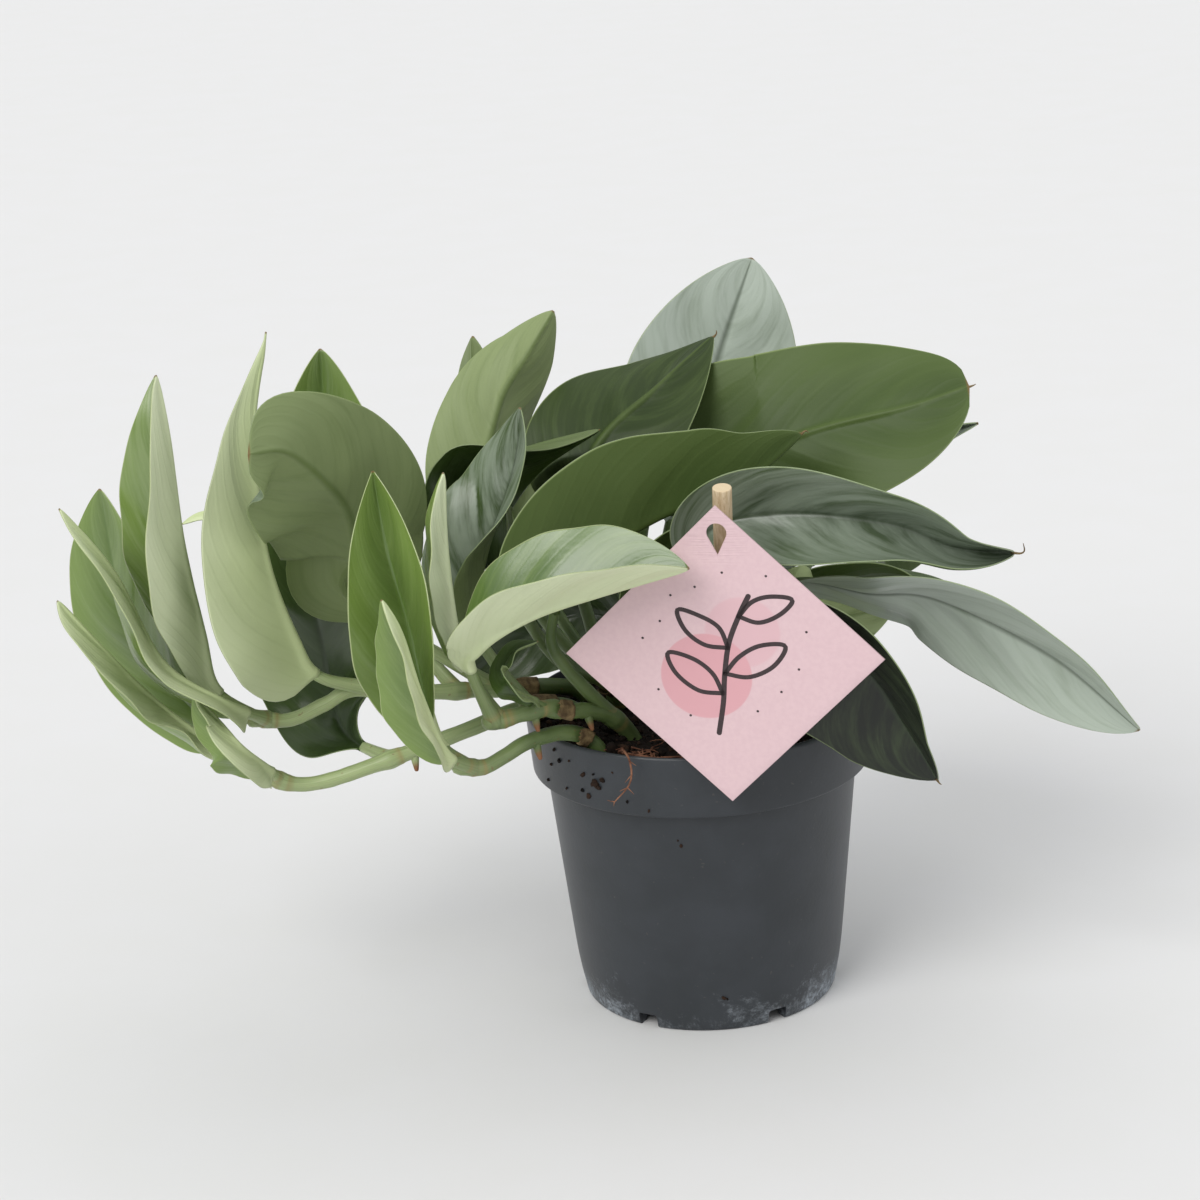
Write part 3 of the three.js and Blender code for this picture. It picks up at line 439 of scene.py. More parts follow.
def clods(centres, radii, seed, subdivided=False):
    """One squashed and dented ball at each centre, each turned its own way."""
    random = scattered(seed)
    corner, face = small_ball(subdivided)
    count, many = len(centres), len(corner)
    dent = random.uniform(0.7, 1.2, (count, many, 1))
    stretch = random.uniform(0.65, 1.35, (count, 1, 3))
    turn = np.linalg.qr(random.normal(size=(count, 3, 3)))[0]
    turn = turn * np.sign(np.linalg.det(turn))[:, None, None]
    local = np.einsum("nij,nkj->nki", turn, corner[None] * dent * stretch)
    points = centres[:, None, :] + local * radii[:, None, None]
    faces = face[None] + (np.arange(count) * many)[:, None, None]
    shade = np.repeat(random.uniform(0, 1, count), many)
    return points.reshape(-1, 3), faces.reshape(-1, 3), shade


soil_material, tree, shader = new_material("soil_peat", Roughness=0.95, Specular_IOR_Level=0.25)
fleck = noise(tree, object_place(tree), 700.0, 4.0, 0.7)
mixed = math_node(tree, "ADD", times(tree, own_figure(tree, "shade"), 0.55), times(tree, fleck, 0.6))
feed(tree, shader, Normal=bump(tree, fleck, 0.9, 0.0006),
     Base_Color=blend_colours(tree, ramp(tree, mixed, 0.3, 0.95), rgb(13, 10, 8), rgb(58, 41, 31)))

random = scattered(11)
spread = SOIL["reach"] * np.sqrt(random.uniform(0, 1, CLODS))
heading = random.uniform(0, 2 * np.pi, CLODS)
clod_x, clod_y = spread * np.cos(heading), spread * np.sin(heading)
clod_size = 0.45 + 1.5 * random.uniform(0, 1, CLODS) ** 3
clod_at = np.stack([clod_x, clod_y, soil_height(clod_x, clod_y) + 0.35 * clod_size], -1)
body_points, body_faces = soil_body()
soil_points, soil_faces, soil_shade = joined([
    (body_points, body_faces, np.full(len(body_points), 0.3)),
    clods(clod_at[:FINE_CLODS], clod_size[:FINE_CLODS] * 0.8, 12),
    clods(clod_at[FINE_CLODS:], clod_size[FINE_CLODS:] + 0.5, 13, True)])
soil = new_piece("soil_peat", soil_points, soil_faces, [soil_material], values={"shade": soil_shade})
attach(soil, "root")
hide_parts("soil")

SPILLED = [  # place across, height and size of the crumbs that stick to the front of the pot
    (-49.0, 101.5, 0.7), (-47.5, 98.0, 0.9), (-50.5, 95.0, 0.6), (-44.0, 99.5, 0.5), (-39.5, 96.0, 1.0),
    (-36.0, 97.0, 0.6), (-40.0, 90.0, 0.6), (-35.5, 94.0, 1.5), (-34.3, 92.5, 1.1), (-33.0, 95.5, 0.8),
    (-38.0, 88.5, 0.9), (-25.0, 89.0, 0.6), (-18.0, 86.5, 0.5), (-45.5, 88.5, 0.5), (-29.5, 99.0, 0.4),
    (-8.0, 72.0, 0.7), (-9.0, 74.0, 0.4), (-52.0, 88.0, 0.5), (4.0, 13.4, 0.8), (5.2, 12.8, 0.45),
]
BAND_LINE, WALL_LINE = (58.3, 83.9, 0.0785), (46.3, 12.0, 0.103)  # radius and height of foot, slope
across, height, size = np.array(SPILLED).T
band, wall = (radius + (height - start) * slope for radius, start, slope in (BAND_LINE, WALL_LINE))
reach = np.where(height > BAND_LINE[1], band, wall) + 0.1 * size
crumb_at = np.stack([across, -np.sqrt(reach ** 2 - across ** 2), height], -1)
crumb_points, crumb_faces, crumb_shade = clods(crumb_at, size, 14, True)
crumbs = new_piece("spilled_crumbs", crumb_points, crumb_faces.tolist(), [soil_material],
                   values={"shade": crumb_shade})
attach(crumbs, "root")

# Stems: cut lengths of vine, round, fleshy and green, that stand in the soil and run out over the
# rim. Each swells at its nodes, where a leaf's grooved stalk and a short brown root nub grow out.

STEMS = {  # the two radii, the path, and how far along and which way each root nub points
    "vine_front": ((3.1, 2.4), [(-20, -22, 86), (-22, -25, 99), (-28, -31, 110), (-36, -38, 116),
                                (-44, -45, 119), (-50, -50, 122), (-57, -54, 122), (-64, -56, 121),
                                (-69, -58, 121)],
                   [(0.52, (0.3, -0.5, -1)), (0.8, (0.2, -0.4, -1))]),
    "vine_rim": ((3.0, 2.3), [(-30, -36, 86), (-32, -37, 98), (-38, -39, 107), (-45, -44, 111),
                              (-52, -50, 112), (-58, -56, 112), (-64, -61, 110), (-71, -65, 108),
                              (-79, -68, 110)],
                 [(0.6, (0.3, -0.5, -1))]),
    "vine_low": ((3.0, 2.4), [(-36, -2, 84), (-38, -3, 97), (-45, -8, 107), (-60, -22, 112),
                              (-77, -31, 109), (-95, -35, 104), (-110, -38, 100), (-126, -40, 96),
                              (-137, -41, 96), (-147, -42, 101)],
                 [(0.62, (0.1, -0.3, -1))]),
    "vine_high": ((3.0, 2.3), [(-34, 20, 84), (-36, 18, 96), (-43, 13, 106), (-60, 1, 112),
                               (-88, -12, 116), (-115, -20, 121), (-126, -22, 117), (-138, -25, 113),
                               (-150, -28, 115)],
                  [(0.66, (0.1, -0.2, -1))]),
    "crown_left": ((3.6, 2.6), [(-26, 14, 84), (-27, 12, 98), (-29, 6, 108), (-32, -3, 115)], []),
    "crown_right": ((3.6, 2.6), [(2, 8, 84), (2, 4, 98), (3, -6, 108), (2, -18, 114)], []),
    "crown_back": ((3.6, 2.6), [(-10, 26, 84), (-11, 24, 98), (-13, 18, 108), (-15, 12, 114)], []),
    "crown_far": ((3.4, 2.6), [(16, 30, 84), (17, 32, 98), (20, 36, 107), (24, 40, 112)], []),
}
LEAVES = [  # name, stem, how far along it, age, width, stalk's share, roundness of base and tip,
    # midrib, way the upper side looks at base and tip, fold of both halves there, and bend across
    # Low vine: three young leaves at its tip, and one grown leaf half way
    ("leaf_far_low", "vine_low", 1, "young", 32, 0.12, (0.7, 0.75),
     [(-158, -41, 107), (-179, -37, 123), (-193, -49, 147), (-208, -45, 165)],
     [(-0.9, -0.4, -1), (-1, -0.2, -0.7)], [(25, 5), (25, 25)], (0, -5)),
    ("leaf_far_green", "vine_low", 0.98, "young", 42, 0.14, (0.7, 0.8),
     [(-158, -31, 107), (-178, -18, 124), (-191, -23, 156), (-194, -26, 197)],
     [(-0.4, -1, -0.3), (-0.6, -1, -0.1)], [(15, 10), (10, 5)], (0, 0)),
    ("leaf_far_sheath", "vine_low", 0.95, "young", 26, 0.12, (0.6, 0.8),
     [(-150, -58, 115), (-158, -54, 124), (-165, -53, 133)],
     [(-0.8, -1, -1), (-1, -0.9, -0.6)], [(40, 40), (40, 40)], (0, 0)),
    ("leaf_left_dark", "vine_low", 0.68, "grown", 54, 0.17, (0.85, 0.75),
     [(-123, -2, 99), (-128, 11, 113), (-131, 5, 145), (-137, 6, 178)],
     [(-0.4, -1, 0.8), (-0.4, -1, 0.1)], [(20, 15), (0, 15)], (0, 0)),
    # High vine: two young leaves at its tip, and four along it
    ("leaf_far_tall", "vine_high", 1, "young", 44, 0.12, (0.8, 0.85),
     [(-161, -35, 129), (-163, -39, 149), (-165, -49, 185), (-166, -48, 218), (-169, -41, 238)],
     [(-1, -0.3, -0.3), (-1, -0.6, 0.1)], [(45, 50), (50, 45)], (0, 0)),
    ("leaf_far_slim", "vine_high", 0.97, "young", 35, 0.12, (0.6, 0.8),
     [(-157, -50, 129), (-175, -51, 144), (-187, -54, 176), (-202, -55, 199)],
     [(-0.7, -0.6, -1), (-1, -0.2, -0.6)], [(20, 20), (10, 15)], (-5, -5)),
    ("leaf_left_cupped", "vine_high", 0.7, "young", 60, 0.16, (0.5, 1.5),
     [(-127, -30, 130), (-133, -35, 145), (-139, -38, 169), (-141, -35, 191), (-142, -21, 217),
      (-137, -8, 243)],
     [(-1, -0.14, 0), (-1, -0.14, 0)], [(42, 42), (55, 55)], (0, 0)),
    ("leaf_left_peak", "vine_high", 0.5, "young", 47, 0.25, (0.6, 0.8),
     [(-102, 9, 136), (-117, 22, 168), (-124, 27, 199), (-124, 29, 228)],
     [(-0.1, -1, 0.2), (0.1, -1, 0.1)], [(30, 25), (35, 25)], (0, 0)),
    ("leaf_left_arching", "vine_high", 0.4, "grown", 57, 0.3, (0.6, 0.5),
     [(-115, -13, 151), (-112, -22, 169), (-112, -36, 189), (-119, -52, 206), (-127, -64, 217),
      (-137, -73, 219)],
     [(-0.2, 1, 0), (-0.3, 0.9, 0)], [(12, 5), (10, 10)], (0, 0)),
    ("leaf_left_thin", "vine_high", 0.6, "young", 20, 0.35, (0.6, 0.8),
     [(-127, 19, 141), (-149, 25, 169), (-167, 23, 173), (-176, 21, 170)],
     [(-0.9, 0.6, -1), (0.1, 0.2, -1)], [(10, 10), (20, 0)], (0, 0)),
    # Vine over the rim: two young leaves
    ("leaf_front_green", "vine_rim", 0.97, "young", 44, 0.08, (0.8, 0.95),
     [(-85, -61, 116), (-89, -58, 131), (-93, -57, 157), (-98, -54, 181), (-101, -49, 205)],
     [(-0.4, -0.9, 0), (0, -1, 0.3)], [(45, 55), (50, 45)], (5, 5)),
    ("leaf_front_rolled", "vine_rim", 0.93, "young", 28, 0.14, (0.6, 0.8),
     [(-82, -76, 117), (-88, -82, 138), (-93, -83, 161), (-98, -82, 172)],
     [(-0.7, -0.5, -0.4), (-0.8, -0.5, -0.4)], [(40, 30), (40, 35)], (0, 0)),
    # Front vine: three leaves near its tip, a small one, and the broad one over its first node
    ("leaf_front_slim", "vine_front", 0.94, "young", 24, 0.24, (0.65, 0.8),
     [(-71, -58, 133), (-77, -58, 147), (-79, -57, 179), (-78, -55, 205)],
     [(-0.9, -0.2, -0.3), (-1, -0.1, 0)], [(35, 30), (35, 35)], (0, 0)),
    ("leaf_front_twisted", "vine_front", 0.8, "grown", 42, 0.28, (0.65, 0.85),
     [(-66, -42, 135), (-73, -32, 147), (-69, -27, 169), (-61, -25, 187), (-56, -23, 203),
      (-54, -23, 217)],
     [(-0.8, -0.5, 0.1), (-0.8, -0.5, 0.2)], [(65, 70), (10, 5)], (-5, 0)),
    ("leaf_front_wide", "vine_front", 0.97, "young", 51, 0.2, (0.9, 0.8),
     [(-73, -66, 143), (-70, -71, 150), (-61, -76, 158), (-48, -80, 165), (-30, -83, 171),
      (-1, -86, 179)],
     [(-0.5, 0, 0.9), (-0.2, 0.1, 1)], [(55, 45), (60, 30)], (0, 0)),
    ("leaf_small", "vine_front", 0.7, "grown", 11, 0.2, (0.6, 0.8),
     [(-60, -65, 134), (-63, -61, 139), (-59, -58, 145), (-51, -58, 148)],
     [(-0.6, -0.9, -1), (-0.4, -0.1, 1)], [(25, 25), (25, 20)], (-5, -5)),
    ("leaf_middle_broad", "vine_front", 0.36, "grown", 64, 0.32, (0.35, 0.75),
     [(-46, -45, 139), (-46, -44, 153), (-42, -42, 163), (-29, -38, 172), (-12, -33, 180),
      (7, -28, 186), (23, -24, 192), (38, -20, 203)],
     [(-0.6, 0.2, 0.9), (-0.5, 0.3, 0.9)], [(60, 72), (60, 68)], (0, -6)),
    # Left crown: leaves over the middle
    ("leaf_top_pale", "crown_left", 0.6, "grown", 42, 0.42, (0.55, 0.75),
     [(-52, 20, 129), (-71, 28, 168), (-65, 36, 202), (-53, 40, 221), (-44, 44, 234)],
     [(-0.6, 0.8, -0.3), (-0.1, 1, -0.2)], [(35, 20), (35, 40)], (10, 10)),
    ("leaf_top_hidden", "crown_left", 0.5, "grown", 43, 0.35, (0.6, 0.8),
     [(-51, 37, 132), (-67, 60, 173), (-74, 67, 198), (-74, 68, 221)],
     [(0.8, 1, -0.1), (1, 1, 0)], [(10, 10), (5, 15)], (0, 0)),
    ("leaf_middle_blue", "crown_left", 0.95, "grown", 46, 0.4, (0.6, 0.8),
     [(-47, -10, 125), (-63, 0, 147), (-78, 4, 172), (-74, 6, 187), (-53, 6, 195), (-29, 8, 200)],
     [(1, -0.8, 0.7), (0.2, -0.4, -1)], [(20, 10), (20, 10)], (0, 0)),
    ("leaf_top_dark", "crown_left", 0.8, "grown", 56, 0.42, (0.55, 0.85),
     [(-36, 2, 134), (-42, 8, 166), (-30, 19, 192), (-8, 30, 209), (11, 40, 223)],
     [(0.1, 1, -0.4), (0.5, 0.5, -1)], [(0, 5), (-5, 10)], (0, 0)),
    ("leaf_middle_edge", "crown_left", 1, "grown", 26, 0.4, (0.6, 0.8),
     [(-53, -10, 132), (-59, -13, 162), (-61, -8, 179), (-61, 2, 187)],
     [(-1, -0.1, -0.2), (-1, 0, 0.1)], [(10, 10), (5, 5)], (0, 0)),
    # Back crown: the tallest leaf, the broadest one and the curled one behind it
    ("leaf_top_silver", "crown_back", 0.55, "grown", 65, 0.38, (0.65, 0.75),
     [(-10, 52, 140), (1, 64, 176), (14, 72, 212), (26, 74, 243)],
     [(0.3, -0.9, 0.2), (0.1, -1, 0)], [(10, 10), (10, 5)], (0, 0)),
    ("leaf_right_broad", "crown_back", 1, "grown", 64, 0.3, (0.4, 0.45),
     [(-19, 12, 138), (-13, 16, 172), (8, 21, 186), (27, 12, 191), (51, 8, 198), (76, 4, 204),
      (95, 0, 211)],
     [(0.1, 1, -0.1), (0.4, 1, -0.9)], [(5, 5), (-5, 5)], (0, 0)),
    ("leaf_right_curled", "crown_back", 0.7, "grown", 39, 0.3, (0.6, 0.9),
     [(17, 52, 134), (54, 60, 168), (86, 58, 179), (103, 54, 184)],
     [(0, -1, 0.2), (-0.2, -1, 0.1)], [(25, 25), (65, 65)], (10, 5)),
    # Right crown: leaves to the right, and those behind the card
    ("leaf_right_silver", "crown_right", 0.95, "grown", 54, 0.33, (0.65, 0.7),
     [(-2, -35, 149), (4, -40, 175), (26, -44, 183), (63, -50, 180), (84, -51, 171),
      (104, -47, 167)],
     [(-0.3, -1, 0), (0.1, -1, -0.3)], [(20, 20), (50, 80)], (10, 60)),
    ("leaf_right_long", "crown_right", 0.8, "grown", 52, 0.27, (0.85, 0.75),
     [(11, -24, 134), (32, -36, 156), (57, -44, 154), (79, -48, 152), (115, -50, 132),
      (144, -50, 105)],
     [(0, -0.7, -0.7), (-0.4, -0.8, -0.4)], [(5, -25), (40, 30)], (0, 0)),
    ("leaf_right_short", "crown_right", 0.5, "grown", 42, 0.25, (0.65, 0.75),
     [(26, 8, 130), (57, 6, 140), (84, 4, 131), (104, 0, 131)],
     [(-0.6, 0.4, 1), (0, 0.1, 1)], [(15, 30), (40, 30)], (0, 0)),
    ("leaf_right_drooping", "crown_right", 1, "grown", 58, 0.33, (0.65, 0.8),
     [(18, -44, 135), (35, -54, 144), (53, -58, 134), (67, -58, 112), (77, -56, 93)],
     [(-0.4, -1, 0), (-0.6, -1, -0.5)], [(30, 25), (40, 30)], (5, 5)),
    ("leaf_right_under", "crown_right", 0.65, "grown", 36, 0.3, (0.6, 0.8),
     [(20, -10, 129), (35, -24, 143), (50, -19, 138), (67, -14, 139)],
     [(1, 0.9, -0.6), (0, 0.4, -1)], [(0, 5), (-5, 5)], (0, 0)),
    ("leaf_behind_label", "crown_right", 0.9, "grown", 42, 0.3, (0.6, 0.8),
     [(-6, -31, 138), (-12, -28, 154), (3, -23, 166), (28, -17, 167)],
     [(-0.7, 0.7, 0.2), (-0.1, 0.8, 0.6)], [(5, -5), (5, -10)], (0, -5)),
    # Far crown: leaves that fill the back, lower than those in front of them
    ("leaf_back_right", "crown_far", 0.9, "grown", 50, 0.3, (0.6, 0.8),
     [(40, 52, 134), (60, 74, 143), (71, 96, 129), (74, 112, 109)],
     [(0.2, 0.1, 1), (0.5, 0.4, 0.7)], [(20, 20), (25, 25)], (0, 0)),
    ("leaf_back_middle", "crown_far", 0.75, "grown", 52, 0.3, (0.6, 0.8),
     [(22, 65, 133), (16, 83, 149), (6, 104, 142), (2, 122, 122)],
     [(0, 0.1, 1), (0, 0.8, 1)], [(20, 20), (25, 25)], (0, 0)),
    ("leaf_back_left", "crown_back", 0.5, "grown", 34, 0.3, (0.6, 0.8),
     [(-22, 40, 117), (-40, 49, 122), (-60, 51, 114), (-82, 50, 100)],
     [(0, -1, 0.3), (0, -1, 0.2)], [(10, 10), (15, 15)], (0, 0)),
    ("leaf_back_low", "crown_far", 1, "grown", 31, 0.26, (0.6, 0.8),
     [(12, 50, 118), (-6, 54, 124), (-24, 56, 125), (-44, 55, 118)],
     [(0, -1, 0.3), (0, -1, 0.2)], [(10, 10), (15, 15)], (0, 0)),
]
PATH_STEPS = 120
GROOVE_WIDTH = 0.55  # in radians round the stalk
CAP_RINGS, CAP_RISE = ((0.87, 0.35), (0.5, 0.62)), 0.72  # shrink and rise of a round end, by its radius
SWELLING, SCAR = (0.26, 3.2), (0.16, 0.7, 3.4)  # size and length of each, and the scar's step back
STALK = {"radius": 2.5, "taper": 0.6, "flare": 0.35, "flare_length": 4.5, "groove": 0.28,
         "full_width": 30}  # a narrower leaf than full_width has a thinner stalk
NUB = {"radius": 1.65, "taper": 0.95, "length": 6.6}
VINE_SIDES, STALK_SIDES, NUB_SIDES = 24, 18, 14


def uv_place(tree):
    """The piece's own uv."""
    return node(tree, "ShaderNodeTexCoord").outputs["UV"]


def stretched(tree, place, scale, turn=(0.0, 0.0, 0.0)):
    """Places scaled along each axis, and then turned, in radians."""
    return node(tree, "ShaderNodeMapping", {0: place, 2: turn, 3: scale}).outputs[0]


def along_path(points, share):
    """Points and directions at shares of the length of the smooth curve through the points. The
    curve is made of Catmull-Rom cubics with tension one half."""
    p = np.asarray(points, float)
    p = np.vstack([2 * p[0] - p[1], p, 2 * p[-1] - p[-2]])
    spans = len(points) - 1
    fine = np.linspace(0.0, spans, PATH_STEPS * spans + 1)
    k = np.minimum(fine.astype(int), spans - 1)
    s = (fine - k)[:, None]
    a, b, c, d = p[k], p[k + 1], p[k + 2], p[k + 3]
    square, cube = a - 2.5 * b + 2 * c - 0.5 * d, 1.5 * b - 0.5 * a - 1.5 * c + 0.5 * d
    place = b + 0.5 * s * (c - a) + s ** 2 * square + s ** 3 * cube
    way = unit(0.5 * (c - a) + 2 * s * square + 3 * s ** 2 * cube)
    run = np.concatenate([[0.0], np.cumsum(np.linalg.norm(np.diff(place, axis=0), axis=1))])
    wanted = np.clip(np.asarray(share, float), 0, 1) * run[-1]
    at = np.stack([np.interp(wanted, run, place[:, axis]) for axis in range(3)], -1)
    heading = np.stack([np.interp(wanted, run, way[:, axis]) for axis in range(3)], -1)
    return at, unit(heading), run[-1]


def round_stem(points, share, radius, side, sides, groove=0.0):
    """A closed tube: a ring about each point of the path, of that radius, started from the
    direction side. groove sinks its upper edge. The ends close in two smaller rings and a point."""
    at, heading, _ = along_path(points, share)
    side = unit(side - (side * heading).sum(-1, keepdims=True) * heading)
    other = np.cross(heading, side)
    angle = round_turn(sides)[None, :, None]
    from_top = np.minimum(angle, 2 * np.pi - angle)
    reach = radius[:, None, None] * (1 - groove * np.exp(-(from_top / GROOVE_WIDTH) ** 2))
    rings = at[:, None] + reach * (np.cos(angle) * side[:, None] + np.sin(angle) * other[:, None])
    cap = lambda row, sign: np.stack([
        at[row] + (rings[row] - at[row]) * shrink + sign * heading[row] * radius[row] * rise
        for shrink, rise in CAP_RINGS])
    rings = np.concatenate([cap(0, -1)[::-1], rings, cap(-1, 1)])
    ends = [0, -1]
    tips = at[ends] + np.array([[-1], [1]]) * heading[ends] * radius[ends, None] * CAP_RISE
    along = np.concatenate([np.zeros(2), share, np.ones(2)])
    uv = np.stack(np.broadcast_arrays(along[:, None], np.arange(sides) / sides), -1).reshape(-1, 2)
    return (np.vstack([rings.reshape(-1, 3), tips]), closed_tube(len(rings), sides),
            np.vstack([uv, [[0, 0], [1, 0]]]))


def leaf_path(leaf):
    """The leaf's stalk and midrib: from its place on the stem on through the midrib's points."""
    _, stem, at = leaf[:3]
    return np.vstack([along_path(STEMS[stem][1], [at])[0], leaf[7]])


def on_rings(figures, sides, at_end=0.0):
    """A figure for each point of a round stem, from one for each ring; its ends have 0 and at_end."""
    caps = len(CAP_RINGS) * sides
    return np.concatenate([np.zeros(caps), np.repeat(figures, sides), np.full(caps, at_end),
                           [0.0, at_end]])


def vine_stem(name, leaves):
    """The stem alone, swollen at each leaf's node, with a raised ring scar just before it."""
    (thick, thin), path, _ = STEMS[name]
    _, heading, length = along_path(path, [0.0, 1.0])
    share = np.linspace(0.0, 1.0, int(length / 1.1))
    swelling, scar = np.zeros_like(share), np.zeros_like(share)
    for leaf in leaves:
        away = (share - leaf[2]) * length
        swelling = np.maximum(swelling, np.exp(-(away / SWELLING[1]) ** 2))
        scar = np.maximum(scar, np.exp(-((away + SCAR[2]) / SCAR[1]) ** 2))
    knob_at = np.arange(0, length + 6, 3)
    knobs = scattered(len(name) * 7 + len(leaves)).normal(size=len(knob_at))
    radius = ((thick + (thin - thick) * share) * (1 + SWELLING[0] * swelling)
              * (1 + 0.02 * np.interp(share * length, knob_at, knobs)) + SCAR[0] * scar)
    side = np.cross(heading[0], heading[1])
    side = side if np.linalg.norm(side) > 0.2 else np.cross(heading[0], (0, 0, 1))
    points, faces, uv = round_stem(path, share, radius, unit(side)[None], VINE_SIDES)
    return points, faces, uv, on_rings(scar, VINE_SIDES), np.zeros(len(points))


def leaf_stalk(leaf):
    """A leaf's stalk: grooved, flared at its foot and thinner to the blade, with a joint near its
    foot. It runs a little way into the blade."""
    whole = along_path(leaf_path(leaf), [0.0])[2]
    stalk = leaf[5] * whole
    t = np.linspace(0.0, 1.0, max(10, int(stalk / 1.3)))
    flare = 1 + STALK["flare"] * np.exp(-t * stalk / STALK["flare_length"])
    radius = min(1.0, leaf[4] / STALK["full_width"]) * (STALK["radius"] - STALK["taper"] * t) * flare
    share, side = t * (leaf[5] + 0.4 / whole), unit(np.array(leaf[8][0], float))[None]
    points, faces, uv = round_stem(leaf_path(leaf), share, radius, side, STALK_SIDES, STALK["groove"])
    joint = 0.8 * np.exp(-((t * stalk - 3.2) / 0.8) ** 2)
    return points, faces, uv, on_rings(joint, STALK_SIDES), np.zeros(len(points))


def root_nub(start, way):
    """A short cone that stands out of the stem, brown at its tip."""
    end = start + unit(np.array(way, float)) * NUB["length"]
    t = np.linspace(0.0, 1.0, 12)
    path, radius = [start, (start + end) / 2, end], NUB["radius"] - NUB["taper"] * t ** 1.5
    points, faces, uv = round_stem(path, t, radius, np.array([[1.0, 0.1, 0.05]]), NUB_SIDES)
    brown = on_rings(smooth_step(t, 0.45, 0.9), NUB_SIDES, 1.0)
    return points, faces, uv, np.zeros(len(points)), brown


def vine(name):
    """The points, faces, uv and figures of a stem with its stalks and nubs. The figure scar is 1 on
    a node's ring, and brown is 1 on a nub's tip."""
    leaves = [leaf for leaf in LEAVES if leaf[1] == name]
    _, path, nubs = STEMS[name]
    return joined([vine_stem(name, leaves)] + [leaf_stalk(leaf) for leaf in leaves]
                  + [root_nub(along_path(path, [at])[0][0], way) for at, way in nubs])


stem_material, tree, shader = new_material("stem_skin", Specular_IOR_Level=0.45, Subsurface_Weight=0.12,
                                           Subsurface_Scale=0.002)
shader.inputs["Subsurface Radius"].default_value = (0.5, 1.0, 0.25)
place = object_place(tree)
stripe = noise(tree, stretched(tree, uv_place(tree), (5.0, 26.0, 1.0)), 1.0, 3.0)
patch = noise(tree, place, 60.0, 4.0)
# Painted shade and light: outer is 0 near the pot and 1 out to the left. The skin's base colours are
# darkened as painted shade where the leaves shade the stems near the pot, and outer pales the skin where
# the stems are lit.
outer = ramp(tree, parts_of(tree, place)[0], -0.040, -0.105)
speck = times(tree, ramp(tree, noise(tree, place, 420.0, 2.0), 0.68, 0.74), 0.5)
brown = own_figure(tree, "brown")
skin = layered(tree, rgb(72, 92, 48), (ramp(tree, patch, 0.3, 0.7), rgb(102, 120, 72)),
               (outer, rgb(164, 178, 128)), (ramp(tree, stripe, 0.35, 0.8, 0.0, 0.5), rgb(92, 112, 58)),
               (times(tree, own_figure(tree, "scar"), 0.75), rgb(150, 132, 82)),
               (speck, rgb(122, 92, 56)), (brown, rgb(126, 84, 56)))
feed(tree, shader, Base_Color=skin, Roughness=ramp(tree, brown, 0.0, 1.0, 0.42, 0.8),
     Normal=bump(tree, stripe, 0.35, 0.0004))

for name in STEMS:
    points, faces, uv, scar_figures, brown_figures = vine(name)
    stem = new_piece("stem_" + name, points, faces, [stem_material], uv=uv,
                     values={"scar": scar_figures, "brown": brown_figures})
    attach(stem, "root")
    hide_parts(name)

# Sheath scraps: the dry brown remains of leaf sheaths, thin as paper, that still hug the vines at a
# few nodes and stand off at their torn ends.

SCRAPS = [  # stem, how far along, length, way the open side faces, and wrap in degrees
    ("vine_front", 0.62, 8.0, (0.2, -1.0, 0.5), 130), ("vine_rim", 0.30, 7.0, (0.1, -1.0, 0.2), 120),
    ("vine_low", 0.24, 12.0, (0.0, -1.0, 0.6), 150), ("vine_high", 0.30, 11.0, (-0.2, -1.0, 0.3), 130),
    ("crown_left", 0.72, 9.0, (-0.4, -1.0, 0.2), 120),
]
SCRAP = {"radius": 3.65, "flare": 1.3, "flute": 0.15, "flutes": 9, "thickness": 0.2, "torn": 2.0}


def skin_faces(rows, columns):
    """Faces for a closed skin. Each row of points runs over one side, in that many columns, and back
    under the other side. Strips of quads close the two ends."""
    j = np.arange(columns - 1)
    back = 2 * columns - 1 - j
    base = np.stack([j + 1, j, back, back - 1], -1)
    tip = (rows - 1) * 2 * columns + np.stack([j, j + 1, back - 1, back], -1)
    return np.vstack([grid_faces(rows, 2 * columns, True), base, tip]).tolist()


def sheath_scrap(stem, at, length, way, wrap, seed):
    """Part of a cone about the stem, open on one side, narrower and further off towards its end,
    with a torn edge, as a closed skin."""
    rows, columns = 16, 15
    path = STEMS[stem][1]
    share = at + np.linspace(0.0, 1.0, rows) * length / along_path(path, [0.0])[2]
    centre, heading, _ = along_path(path, share)
    side = unit(np.array(way, float) - (heading @ np.array(way, float))[:, None] * heading)
    other = np.cross(heading, side)
    s = np.linspace(0.0, 1.0, rows)[:, None]
    angle = np.radians(wrap / 2) * np.linspace(-1, 1, columns)[None] * (1 - 0.55 * s ** 1.5)
    torn = scattered(seed).uniform(-0.5, 0.5, (1, columns)) * s ** 3
    radius = SCRAP["radius"] + SCRAP["flare"] * s ** 2 + SCRAP["flute"] * np.sin(SCRAP["flutes"] * angle)
    out = np.cos(angle)[..., None] * side[:, None] + np.sin(angle)[..., None] * other[:, None]
    middle = centre[:, None] + torn[..., None] * SCRAP["torn"] * heading[:, None]
    outside, inside = (middle + (radius + extra)[..., None] * out for extra in (SCRAP["thickness"], 0.0))
    return np.concatenate([outside, inside[:, ::-1]], 1).reshape(-1, 3), skin_faces(rows, columns)


scrap_material = mottled_material("dry_sheath", (340.0, 4.0, 0.65), (0.3, 0.7),
                                  (rgb(78, 62, 40), rgb(136, 116, 80)), (0.5, 0.0003),
                                  Roughness=0.7, Specular_IOR_Level=0.3)
torn_scraps = joined([sheath_scrap(*row, 50 + number) for number, row in enumerate(SCRAPS)])
scraps = new_piece("sheath_scraps", *torn_scraps, [scrap_material])
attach(scraps, "root")

# Leaves: thick, smooth, pointed blades, each a thin closed skin round one curved surface. The upper
# side is glossy, yellow-green when young and silvery blue-green when grown; the underside is matt.

